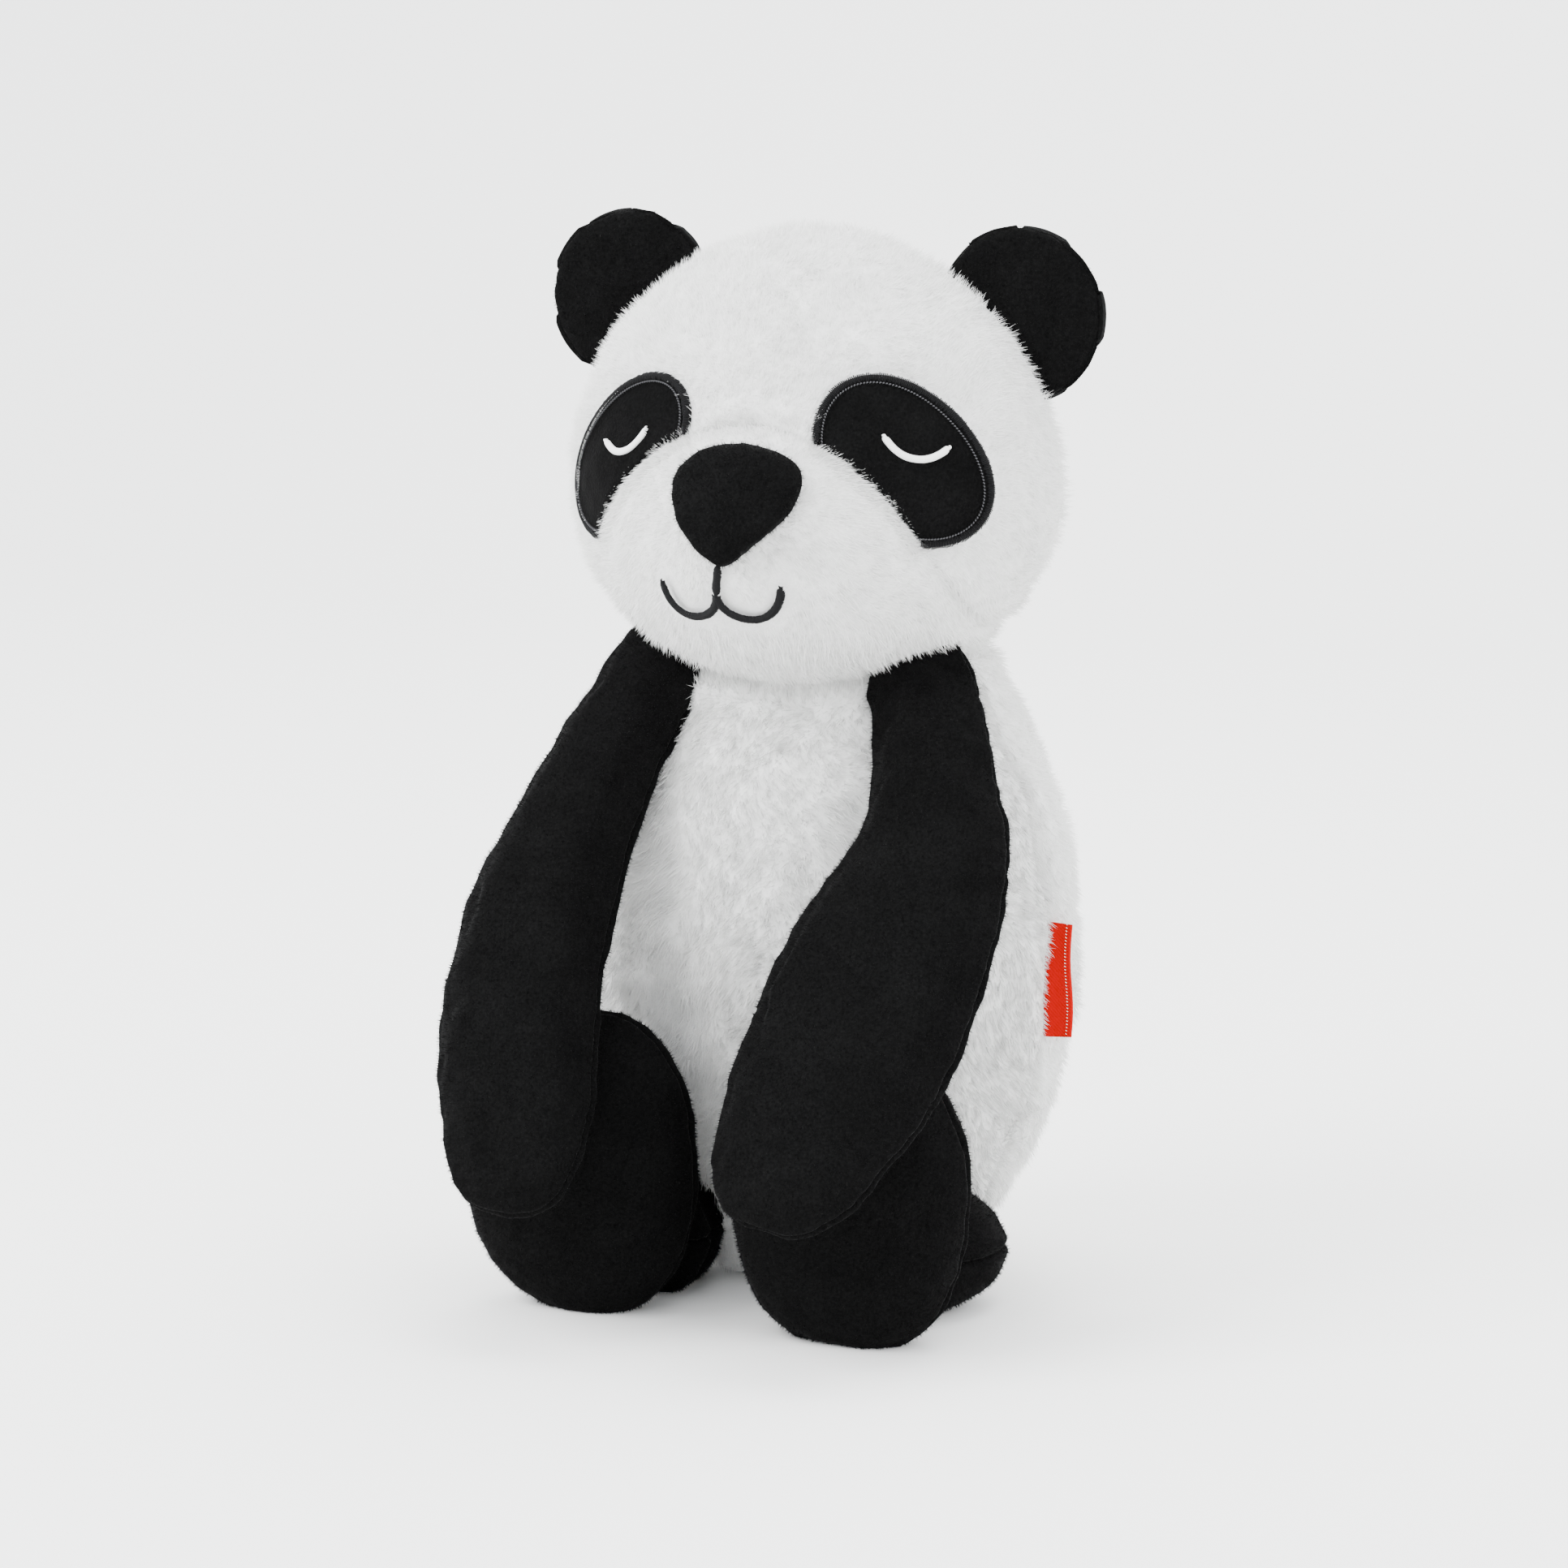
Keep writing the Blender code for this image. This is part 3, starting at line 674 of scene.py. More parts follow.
SATIN_BORDER = Embroidery(2.4 * MM, 0.5 * MM, 0.4 * MM, BLACK_THREAD, 0.5 * MM, slant=0.12, ragged=0.2)
TOP_STITCH = Embroidery(0.6 * MM, 0.9 * MM, 0.4 * MM, GREY_THREAD, 0.25 * MM, slant=2.2)
LID_STITCH = Embroidery(2.2 * MM, 0.45 * MM, 0.5 * MM, WHITE_THREAD, 0.5 * MM, slant=0.5)
MOUTH_STITCH = Embroidery(2.5 * MM, 0.36 * MM, 0.52 * MM, BLACK_THREAD, 0.5 * MM, slant=0.3, ragged=0.1)
EDGE_STITCH = Embroidery(0.5 * MM, 0.9 * MM, 0.22 * MM, CREAM_SELVEDGE, 0.08 * MM, slant=0.5)


# ---------------------------------------------------------------- head


@dataclass
class HeadForm:
    """The head's egg with the muzzle that swells out of its front."""

    half_width: float
    front: float
    back: float
    centre_y: float
    widest_z: float
    up: float
    down: float
    top_taper: float = 1.06
    jaw_fullness: float = 0.86
    muzzle_reach: float = 21.5 * MM
    muzzle_z: float = 0.2105
    muzzle_spread_x: float = 33.0 * MM
    muzzle_spread_z: float = 25.5 * MM
    seam_z: float = 0.1905
    seam_half_width: float = 55.5 * MM
    seam_half_height: float = 64.0 * MM

    @classmethod
    def from_frame(cls) -> "HeadForm":
        """The head's sizes, read from the CAD panels."""
        _, high = span("forehead_panel", "head_back_left_panel", "head_back_right_panel")
        centre_y, up, down, front = -8.5 * MM, 71.5 * MM, 57.5 * MM, 49.0 * MM
        return cls(high.x, front, high.y - centre_y, centre_y, high.z - up, up, down)

    def swell(self, x: np.ndarray, z: np.ndarray) -> np.ndarray:
        """How far the muzzle stands out of the plain egg."""
        across = x / self.muzzle_spread_x
        rise = (z - self.muzzle_z) / self.muzzle_spread_z
        return self.muzzle_reach * np.exp(-(across**2 + rise**2) / 2)

    def place(self, p: Points) -> Points:
        """Moves a unit ball onto the head.

        Args:
            p: points of the ball.

        Returns:
            The same points on the head.
        """
        upper = p[:, 2] > 0
        z = self.widest_z + p[:, 2] * np.where(upper, self.up, self.down)
        ring = np.maximum(np.hypot(p[:, 0], p[:, 1]), 1e-6)
        size = ring ** np.where(upper, self.top_taper, self.jaw_fullness)
        x = self.half_width * size * p[:, 0] / ring
        depth = np.where(p[:, 1] < 0, self.front, self.back)
        y = self.centre_y + depth * size * p[:, 1] / ring
        forward = np.sqrt(np.maximum(-p[:, 1] / ring, 0.0))
        return np.stack((x, y - forward * self.swell(x, z), z), axis=1)

    def front_y(self, x: np.ndarray, z: np.ndarray) -> np.ndarray:
        """The front surface's Y at places seen from the front."""
        upper = z > self.widest_z
        rise = np.clip((z - self.widest_z) / np.where(upper, self.up, self.down), -0.999, 0.999)
        size = np.sqrt(1 - rise**2) ** np.where(upper, self.top_taper, self.jaw_fullness)
        across = np.clip(x / (self.half_width * size), -0.995, 0.995)
        forward = np.sqrt(1 - across**2)
        return self.centre_y - self.front * size * forward - np.sqrt(forward) * self.swell(x, z)

    def front_points(self, x: np.ndarray, z: np.ndarray, lift: float | np.ndarray) -> tuple[Points, Points]:
        """Places on the front surface and their normals.

        Args:
            x: places across.
            z: places up.
            lift: how far above the surface.

        Returns:
            The points and the unit normals.
        """
        step = 0.5 * MM
        y = self.front_y(x, z)
        slope_x = (self.front_y(x + step, z) - self.front_y(x - step, z)) / (2 * step)
        slope_z = (self.front_y(x, z + step) - self.front_y(x, z - step)) / (2 * step)
        normals = unit(np.stack((slope_x, -np.ones_like(x), slope_z), axis=1))
        points = np.stack((x, y, z), axis=1)
        return points + normals * np.reshape(lift, (-1, 1)), normals

    def seam_distance(self, x: np.ndarray, z: np.ndarray) -> np.ndarray:
        """Rough distance outside the muzzle seam, seen from the front; negative inside."""
        reach = np.hypot(x / self.seam_half_width, (z - self.seam_z) / self.seam_half_height)
        return (reach - 1) * self.seam_half_width


@dataclass
class EyeSpot:
    """A velour patch with a satin border round it, and one closed eye sewn on it."""

    side: Side
    head: HeadForm
    centre_x: float = 42.0 * MM
    centre_z: float = 0.2450
    half_width: float = 18.0 * MM
    half_length: float = 27.2 * MM
    tilt: float = math.radians(-40.0)
    lid_x: float = 45.8 * MM
    lid_z: float = 0.2520
    lid_half_width: float = 7.8 * MM
    lid_drop: float = 4.6 * MM
    lid_fall: float = 3.4 * MM
    lift: float = 1.1 * MM
    dome: float = 0.6 * MM
    edge_drop: float = 0.9 * MM
    crease: float = 0.35 * MM

    def reach(self, points: Points, margin: float = 0.0) -> np.ndarray:
        """How far out on the oval points lie, seen from the front, with 1 on its edge."""
        x = points[:, 0] * self.side.value - self.centre_x
        z = points[:, 2] - self.centre_z
        across = x * math.cos(self.tilt) - z * math.sin(self.tilt)
        up = x * math.sin(self.tilt) + z * math.cos(self.tilt)
        return np.hypot(across / (self.half_width + margin), up / (self.half_length + margin))

    def covers(self, points: Points, margin: float, overlap: float) -> np.ndarray:
        """Which points lie behind the patch, with a margin round it and the pile lapping over it at the seam."""
        clear = self.head.seam_distance(points[:, 0], points[:, 2]) > overlap
        return (self.reach(points, margin) < 1) & clear & (points[:, 1] < 0)

    def ray(self, angle: np.ndarray, share: np.ndarray, inset: float) -> tuple[np.ndarray, np.ndarray]:
        """X and Z of places on the patch.

        Args:
            angle: the way round the oval.
            share: how far out, from 0 to 1.
            inset: how much smaller than the whole patch the oval is.

        Returns:
            X and Z, with X mirrored for the right eye.
        """
        across = (self.half_width - inset) * share * np.cos(angle)
        up = (self.half_length - inset) * share * np.sin(angle)
        x = self.centre_x + across * math.cos(self.tilt) + up * math.sin(self.tilt)
        z = self.centre_z - across * math.sin(self.tilt) + up * math.cos(self.tilt)
        return x * self.side.value, z

    def edge_share(self, angle: np.ndarray, inset: float) -> np.ndarray:
        """How far out the patch goes at each angle before it meets the muzzle's seam."""
        shares = np.linspace(0.3, 1.0, 71)
        x, z = self.ray(angle[:, None], shares[None, :], inset)
        free = self.head.seam_distance(x, z) > 0
        return np.where(free.all(axis=1), 1.0, shares[np.argmin(free, axis=1)])

    def build(self) -> None:
        """Makes the patch, its two lines of stitching and the lid."""
        name = self.side.label
        patch = self._patch(f"{name}_eye_patch_velour")
        fit(patch, "head", [f"{name}_eye_patch"])
        border = self._outline(f"{name}_eye_patch_satin", SATIN_BORDER, 1.0 * MM, 0.3 * MM)
        fit(border, "head", [f"{name}_eye_patch_border"])
        inner_line = self._outline(f"{name}_eye_patch_top_stitch", TOP_STITCH, 2.7 * MM, 0.5 * MM)
        fit(inner_line, "head")
        fit(self._lid(f"{name}_closed_eyelid"), "head", [f"{name}_closed_eyelid_stitch"])

    def _height(self, share: np.ndarray) -> np.ndarray:
        """How far above the head the patch lies at a share of its radius."""
        return self.lift + self.dome * (1 - share**2) - self.edge_drop * smooth_step(share, 0.93, 1.0)

    def _patch(self, name: str) -> bpy.types.Object:
        """Makes the patch itself, domed, with its edge turned down into the pile.

        Args:
            name: the piece's name.

        Returns:
            The new piece.
        """
        around, rings = 96, 26
        angles = np.linspace(0, 2 * math.pi, around, endpoint=False)
        edge = self.edge_share(angles, 0.0)
        points = []
        for ring in range(1, rings + 1):
            share = (ring / rings) * edge
            x, z = self.ray(angles, share, 0.0)
            lifted, _ = self.head.front_points(x, z, self._height(np.full(around, ring / rings)))
            points.append(lifted)
        x, z = self.ray(np.zeros(1), np.zeros(1), 0.0)
        middle, _ = self.head.front_points(x, z, self._height(np.zeros(1)))
        faces: list[tuple[int, ...]] = []
        for ring in range(rings - 1):
            for k in range(around):
                j = (k + 1) % around
                faces.append((ring * around + k, (ring + 1) * around + k, (ring + 1) * around + j, ring * around + j))
        last = rings * around
        faces += [(last, k, (k + 1) % around) for k in range(around)]
        if self.side is Side.RIGHT:
            faces = [tuple(reversed(f)) for f in faces]
        grid = np.concatenate((*points, middle))
        grid[:, 1] -= self.crease * ripple(grid, 9 * MM, 31)
        piece = make_object(name, grid, faces, VELOUR)
        cloth = piece.modifiers.new("cloth", "SOLIDIFY")
        cloth.thickness = THIN_CLOTH
        return piece

    def _outline(self, name: str, stitch: Embroidery, inset: float, rise: float) -> bpy.types.Object:
        """Sews a line round the part of the oval that the muzzle's seam leaves.

        Args:
            name: the piece's name.
            stitch: how it is sewn.
            inset: how far inside the patch's edge.
            rise: how far above the patch.

        Returns:
            The new piece.
        """
        angles = np.linspace(0, 2 * math.pi, 721)[:-1]
        free = self.edge_share(angles, inset) > 0.999
        start = int(np.argmax(~free & np.roll(free, -1)))
        order = (start + 1 + np.arange(len(angles))) % len(angles)
        order = order[free[order]]
        x, z = self.ray(angles[order], np.ones(len(order)), inset)
        share = 1 - inset / self.half_width
        height = self._height(np.full(len(order), share)) + rise
        path, ups = self.head.front_points(x, z, height)
        return stitch.sew(name, path, ups)

    def _lid(self, name: str) -> bpy.types.Object:
        """The closed eye: a sagging line of white stitches."""
        share = np.linspace(-1, 1, 60)
        x = (self.lid_x + self.lid_half_width * share) * self.side.value
        z = self.lid_z - self.lid_drop * (1 - np.abs(share) ** 2.2) - self.lid_fall * (share + 1) / 2
        path, ups = self.head.front_points(x, z, self.lift + self.dome + 0.35 * MM)
        return LID_STITCH.sew(name, path, ups)


def fit(
    piece: bpy.types.Object, body: str, nodes: Sequence[str] = ()
) -> bpy.types.Object:
    """Puts a piece on its body, and hides the CAD nodes it stands for.

    Args:
        piece: the piece, in place.
        body: the body it moves with.
        nodes: the CAD nodes it stands for.

    Returns:
        The piece.
    """
    if nodes:
        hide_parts(*nodes)
    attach(piece, body)
    log.info("%s on %s, %d faces", piece.name, body, len(piece.data.polygons))
    return piece


@dataclass(frozen=True)
class Filling:
    """Stuffs a cover: its cloth is woven evenly, then blown up a little from inside, so that it creases."""

    weave: float = 4.0 * MM
    pressure: float = 4.0
    excess: float = 0.035
    frames: int = 16
    reach: float = 2.5 * MM
    firmness: float = 0.75
    shrinkage: float = 0.9 * MM

    def stuff(self, form: Form) -> Form:
        """The stuffed cover.

        Args:
            form: the cover's closed form.

        Returns:
            The same form, with even faces and soft creases.
        """
        piece = make_object("cover_being_filled", form.points, form.faces, VELOUR)
        remesh = piece.modifiers.new("even_weave", "REMESH")
        remesh.mode = "VOXEL"
        remesh.voxel_size = self.weave
        self._settle(piece)
        self._blow(piece)
        fine = piece.modifiers.new("fine", "SUBSURF")
        fine.levels = fine.render_levels = 2
        self._settle(piece)
        bm = bmesh.new()
        bm.from_mesh(piece.data)
        bmesh.ops.triangulate(bm, faces=bm.faces)
        bm.verts.index_update()
        points = np.array([v.co for v in bm.verts])
        faces = np.array([[v.index for v in f.verts] for f in bm.faces])
        bm.free()
        bpy.data.objects.remove(piece)
        filled = Form(points, outward(points, faces))
        return filled.raised(np.full(len(points), self.shrinkage))

    @staticmethod
    def _settle(piece: bpy.types.Object) -> None:
        """Turns a piece's modifiers into its mesh."""
        graph = bpy.context.evaluated_depsgraph_get()
        mesh = bpy.data.meshes.new_from_object(piece.evaluated_get(graph))
        piece.modifiers.clear()
        piece.data = mesh

    def _blow(self, piece: bpy.types.Object) -> None:
        """Runs the cloth for a few frames, and keeps its movement short.

        Args:
            piece: the cover, which is changed in place.
        """
        count = len(piece.data.vertices)
        rest = np.zeros(count * 3)
        piece.data.vertices.foreach_get("co", rest)
        cloth = piece.modifiers.new("cloth", "CLOTH")
        settings = cloth.settings
        settings.quality = 6
        settings.mass = 0.15
        settings.tension_stiffness = settings.compression_stiffness = 18
        settings.bending_stiffness = 0.06
        settings.use_pressure = True
        settings.uniform_pressure_force = self.pressure
        settings.shrink_min = -self.excess
        settings.effector_weights.gravity = 0.0
        cloth.collision_settings.use_collision = False
        scene = bpy.context.scene
        for frame in range(1, self.frames + 1):
            scene.frame_set(frame)
        graph = bpy.context.evaluated_depsgraph_get()
        blown = np.zeros(count * 3)
        piece.evaluated_get(graph).data.vertices.foreach_get("co", blown)
        piece.modifiers.clear()
        scene.frame_set(1)
        move = (blown - rest).reshape(-1, 3)
        normals = np.zeros(count * 3)
        piece.data.vertices.foreach_get("normal", normals)
        normals = normals.reshape(-1, 3)
        inward = np.minimum(np.einsum("ij,ij->i", move, normals), 0.0)[:, None]
        move -= normals * inward * self.firmness
        far = np.linalg.norm(move, axis=1, keepdims=True)
        move *= np.minimum(1, self.reach / np.maximum(far, 1e-9))
        piece.data.vertices.foreach_set("co", rest + move.reshape(-1))


LIMB_FILLING = Filling(weave=3.2 * MM)
BODY_FILLING = Filling(weave=5.0 * MM, excess=0.03, reach=2.0 * MM, shrinkage=0.2 * MM)


@dataclass(frozen=True)
class SeamPlane:
    """The plane that a seam runs in."""

    place: tuple[float, float, float]
    normal: tuple[float, float, float]

    def distance(self, points: Points) -> np.ndarray:
        """Signed distances from the plane."""
        return (points - np.array(self.place)) @ np.array(self.normal)

    def snap(self, form: Form, within: float) -> Form:
        """Gives a form a line of edges where the seam runs.

        Args:
            form: the form.
            within: points this near to the plane are moved onto it.

        Returns:
            The form with the line cut into it.
        """
        far = self.distance(form.points)
        near = np.abs(far) < within
        points = form.points.copy()
        points[near] -= far[near, None] * np.array(self.normal)
        bm = bmesh.new()
        verts = [bm.verts.new(p) for p in points]
        for face in form.faces:
            bm.faces.new([verts[i] for i in face])
        geometry = [*bm.verts, *bm.edges, *bm.faces]
        bmesh.ops.bisect_plane(bm, geom=geometry, dist=1e-6, plane_co=self.place, plane_no=self.normal)
        bmesh.ops.triangulate(bm, faces=bm.faces)
        bm.verts.index_update()
        cut = np.array([v.co for v in bm.verts])
        faces = np.array([[v.index for v in f.verts] for f in bm.faces])
        bm.free()
        return Form(cut, faces)


@dataclass(frozen=True)
class SeamRelief:
    """How cloth lies at a seam: drawn in on the line, rolled up beside it, and puckered."""

    draw: float = 0.9 * MM
    draw_width: float = 0.7 * MM
    roll: float = 0.5 * MM
    roll_place: float = 2.0 * MM
    pucker: float = 0.45 * MM
    pucker_size: float = 7.0 * MM
    pucker_reach: float = 7.0 * MM

    def height(self, points: Points, distance: np.ndarray, seed: int) -> np.ndarray:
        """How far the cloth stands out at points that lie at a distance from a seam."""
        far = np.abs(distance)
        drawn = -self.draw * np.exp(-((far / self.draw_width) ** 2))
        rolled = self.roll * np.exp(-(((far - self.roll_place) / (0.7 * self.roll_place)) ** 2))
        puckers = self.pucker * ripple(points, self.pucker_size, seed) * np.exp(-far / self.pucker_reach)
        return drawn + rolled + puckers


VELOUR_SEAM = SeamRelief()
PILE_SEAM = SeamRelief(1.6 * MM, 2.0 * MM, 0.7 * MM, 5.0 * MM, 0.5 * MM, 9.0 * MM, 8.0 * MM)

# White pile: fine and lying, shorter on the face than on the body, and in larger tufts on the belly
FACE_PILE = Pile(150, 4.2 * MM, 0.26 * MM, math.radians(58), PILE_FIBRE, seed=11)
BACK_PILE = Pile(95, 4.6 * MM, 0.32 * MM, math.radians(55), PILE_FIBRE, seed=12)
# The belly's fibres carry painted shade: a greyer colour for the shade between the arms
BELLY_PILE = Pile(135, 5.0 * MM, 0.27 * MM, math.radians(54), BELLY_FIBRE_PAINTED_SHADE, 5.0 * MM, 0.65, 13)
# The thick edge of pile at the muzzle's seam, where it laps over the eye patches
FRINGE_PILE = Pile(950, 3.3 * MM, 0.27 * MM, math.radians(60), PILE_FIBRE, 2.0 * MM, 0.6, 15)
# Velour: a close short nap that softens the outline
NAP = Pile(110, 1.15 * MM, 0.22 * MM, math.radians(24), VELOUR_FIBRE, tuft=1.5 * MM, gather=0.25, seed=14)


def swirl(points: Points, size: float, seed: int) -> Points:
    """A gently turning field of directions."""
    return np.stack([ripple(points, size, seed + k, 1) for k in range(3)], axis=1)


NOSE_CENTRE_Z, NOSE_HALF_WIDTH, NOSE_HALF_HEIGHT = 0.2340, 22.2 * MM, 16.4 * MM
EAR_CENTRES = {Side.LEFT: (59.5 * MM, 1.0 * MM, 0.2832), Side.RIGHT: (61.2 * MM, 1.0 * MM, 0.2862)}


def nose_width(height: np.ndarray) -> np.ndarray:
    """Half the nose's width at a height, from -1 at its point to 1 at its top."""
    return NOSE_HALF_WIDTH * (0.80 + 0.34 * height - 0.14 * height**2)


def nap_comb(points: Points, ups: Points) -> Points:
    """Velour's nap lies a little downwards, and turns here and there."""
    return np.array((0.0, 0.0, -0.6)) + 0.9 * swirl(points, 16 * MM, 60)


def full_length(points: Points) -> np.ndarray:
    """The full length everywhere."""
    return np.ones(len(points))


def velour_halves(
    limb: str, form: Form, first: np.ndarray, labels: tuple[str, str], body: str, filling: str = "stuffing"
) -> None:
    """Splits a velour form at its seam into two panels, and grows its nap.

    Args:
        limb: the name that its pieces and CAD nodes start with.
        form: the whole form.
        first: a mask over its faces, true on the first panel.
        labels: what the two panels are called.
        body: the body they move with.
        filling: what the CAD node inside is called; the first panel stands for it too.
    """
    for label, chosen in zip(labels, (first, ~first)):
        nodes = [f"{limb}_{label}_panel"]
        if label == labels[0]:
            nodes.append(f"{limb}_{filling}")
        panel = panel_from(f"{limb}_{label}_velour", form, chosen, VELOUR, THIN_CLOTH)
        fit(panel, body, nodes)
    nap = NAP.grow(f"{limb}_nap", form, np.ones(len(form.faces), bool), nap_comb, full_length)
    fit(nap, body)


@dataclass
class Head:
    """The white head: forehead, muzzle and two back panels, with their pile."""

    form: HeadForm
    eyes: list[EyeSpot]
    seam_y: float = 1.0 * MM

    def build(self) -> None:
        """Makes the panels and grows the pile on them."""
        skin = Form.pressed(self.form.place, 7)
        side = SeamPlane((0.0, self.seam_y, 0.0), (0.0, 1.0, 0.0))
        middle = SeamPlane((0.0, 0.0, 0.0), (1.0, 0.0, 0.0))
        skin = middle.snap(side.snap(skin, 0.3 * MM), 0.3 * MM)
        skin = skin.raised(self._relief(skin, side, middle))
        centres = skin.centres()
        front = side.distance(centres) < 0
        inside = front & (self.form.seam_distance(centres[:, 0], centres[:, 2]) < 0)
        left = centres[:, 0] > 0
        panels = {
            "forehead": (front & ~inside, ["forehead_panel", "head_stuffing"], FACE_PILE),
            "muzzle": (inside, ["muzzle_panel"], FACE_PILE),
            "head_back_left": (~front & left, ["head_back_left_panel"], BACK_PILE),
            "head_back_right": (~front & ~left, ["head_back_right_panel"], BACK_PILE),
        }
        for name, (chosen, nodes, pile) in panels.items():
            fit(panel_from(f"{name}_skin", skin, chosen, PILE_BACKING, FUR_CLOTH), "head", nodes)
            fur = pile.grow(f"{name}_pile", skin, chosen, self._comb, self._length)
            fit(fur, "head")
        band = inside & self._at_patch(centres)
        fit(FRINGE_PILE.grow("patch_fringe_pile", skin, band, self._comb, full_length), "head")

    def _at_patch(self, points: Points) -> np.ndarray:
        """Which points lie in the narrow band where the muzzle's seam crosses the eye patches."""
        near = np.minimum(*(eye.reach(points) for eye in self.eyes))
        return (near < 1.08) & (np.abs(self.form.seam_distance(points[:, 0], points[:, 2])) < 3.2 * MM)

    def _relief(self, skin: Form, side: SeamPlane, middle: SeamPlane) -> np.ndarray:
        """Seams and soft lumps, levelled out under the eye patches.

        Args:
            skin: the whole head.
            side: the seam in front of the ears.
            middle: the seam down the back.

        Returns:
            How far each point stands out.
        """
        points = skin.points
        height = 0.9 * MM * ripple(points, 24 * MM, 3) + 0.35 * MM * ripple(points, 8 * MM, 4)
        height += PILE_SEAM.height(points, side.distance(points), 5)
        back = points[:, 1] > self.seam_y
        height += np.where(back, PILE_SEAM.height(points, middle.distance(points), 6), 0.0)
        seam = PILE_SEAM.height(points, self.form.seam_distance(points[:, 0], points[:, 2]), 7)
        near = np.minimum(*(eye.reach(points) for eye in self.eyes))
        flat = np.where(back, 1.0, smooth_step(near, 1.02, 1.4))
        return (height + np.where(back, 0.0, seam)) * flat - 0.2 * MM * (1 - flat)

    def _comb(self, points: Points, ups: Points) -> Points:
        """The pile lies away from the nose, and falls at the cheeks and the back."""
        nose_bridge = np.array((0.0, -70 * MM, 0.228))
        away = unit(points - nose_bridge)
        fall = np.array((0.0, 0.1, -0.35))
        return away + fall + 0.55 * swirl(points, 22 * MM, 40)

    def _length(self, points: Points) -> np.ndarray:
        """No pile under the patches, the nose, the stitches and the ears, and short pile beside them.

        Args:
            points: where the fibres stand.

        Returns:
            The share of the full length at each.
        """
        share = np.where(self._at_patch(points), 0.55, 1.0)
        for eye in self.eyes:
            share[eye.covers(points, 0.4 * MM, 1.2 * MM)] = 0.0
        height = (points[:, 2] - NOSE_CENTRE_Z) / NOSE_HALF_HEIGHT
        near = np.hypot(points[:, 0] / np.maximum(nose_width(height), 4 * MM), height)
        front = points[:, 1] < -20 * MM
        share *= np.where(front, smooth_step(near, 0.86, 1.25) * 0.55 + np.where(near > 0.93, 0.45, 0.0), 1.0)
        share *= np.where(front, smooth_step(mouth_distance(points), 2.4 * MM, 5.6 * MM), 1.0)
        for side, (x, _, z) in EAR_CENTRES.items():
            ear = np.hypot(points[:, 0] * side.value - x, points[:, 2] - z)
            share[(ear < 23 * MM) & (np.abs(points[:, 1] - self.seam_y) < 3.2 * MM)] = 0.0
        share *= 1 - 0.5 * smooth_step(0.183 - points[:, 2], 0.0, 8 * MM)
        return share


MOUTH_TOP_Z, MOUTH_FORK_Z, MOUTH_END_X, MOUTH_END_Z, MOUTH_LOW_Z = 0.2175, 0.2095, 17.2 * MM, 0.2122, 0.2030
FACE_SHIFT_X = 1.6 * MM
STEM_SHIFT_X = -0.2 * MM
SMILE_SHIFT_X = -1.7 * MM


def mouth_lines() -> tuple[tuple[np.ndarray, np.ndarray], tuple[np.ndarray, np.ndarray]]:
    """X and Z along the smile and along the stem over it."""
    turn = np.linspace(-math.pi, math.pi, 121)
    angle = np.abs(turn)
    x = np.sign(turn) * MOUTH_END_X / 2 * (1 - np.cos(angle))
    rise = np.where(angle < math.pi / 2, MOUTH_FORK_Z, MOUTH_END_Z)
    z = MOUTH_LOW_Z + (rise - MOUTH_LOW_Z) * (1 - np.sin(angle))
    stem_z = np.linspace(MOUTH_TOP_Z, MOUTH_FORK_Z, 24)
    return (x + SMILE_SHIFT_X, z), (np.linspace(STEM_SHIFT_X, SMILE_SHIFT_X, 24), stem_z)


def mouth_distance(points: Points) -> np.ndarray:
    """Distance from the mouth's lines, seen from the front."""
    best = np.full(len(points), 1.0)
    for x, z in mouth_lines():
        for px, pz in zip(x[::2], z[::2]):
            best = np.minimum(best, np.hypot(points[:, 0] - px, points[:, 2] - pz))
    return best


@dataclass
class NoseAndMouth:
    """The padded velour nose, and the mouth sewn in satin stitch under it."""

    head: HeadForm
    bulge: float = 6.6 * MM
    rim: float = 3.2 * MM

    def build(self) -> None:
        """Makes both."""
        form = Form.pressed(self._shape, 6)
        crease = 0.35 * MM * ripple(form.points, 10 * MM, 21) + 0.15 * MM * ripple(form.points, 4 * MM, 22)
        form = form.raised(crease)
        everywhere = np.ones(len(form.faces), bool)
        nose = panel_from("nose_velour", form, everywhere, VELOUR, THIN_CLOTH)
        fit(nose, "head", ["nose_cover", "nose_stuffing"])
        nap = NAP.grow("nose_nap", form, everywhere, nap_comb, full_length)
        fit(nap, "head")
        (x, z), (stem_x, stem_z) = mouth_lines()
        path, ups = self.head.front_points(x, z, 2.5 * MM)
        smile = MOUTH_STITCH.sew("smile_stitch", path, ups)
        fit(smile, "head", ["mouth_stitch"])
        path, ups = self.head.front_points(stem_x, stem_z, 2.6 * MM)
        fit(MOUTH_STITCH.sew("mouth_stem_stitch", path, ups), "head")

    def _shape(self, p: Points) -> Points:
        """Presses a ball into a rounded triangle with its point down, on the head's front.

        Args:
            p: points of the ball.

        Returns:
            The same points on the nose.
        """
        ring = np.maximum(np.hypot(p[:, 0], p[:, 1]), 1e-6)
        size = (1 - np.minimum(p[:, 2] ** 4, 1.0)) ** 0.25 / ring
        height = p[:, 1] * size
        x = nose_width(height) * p[:, 0] * size
        z = NOSE_CENTRE_Z + NOSE_HALF_HEIGHT * height
        depth = np.where(p[:, 2] > 0, self.bulge, self.rim) * p[:, 2]
        y = self.head.front_y(x, z) - 0.6 * MM - self.rim - depth
        return np.stack((x + FACE_SHIFT_X, y, z), axis=1)


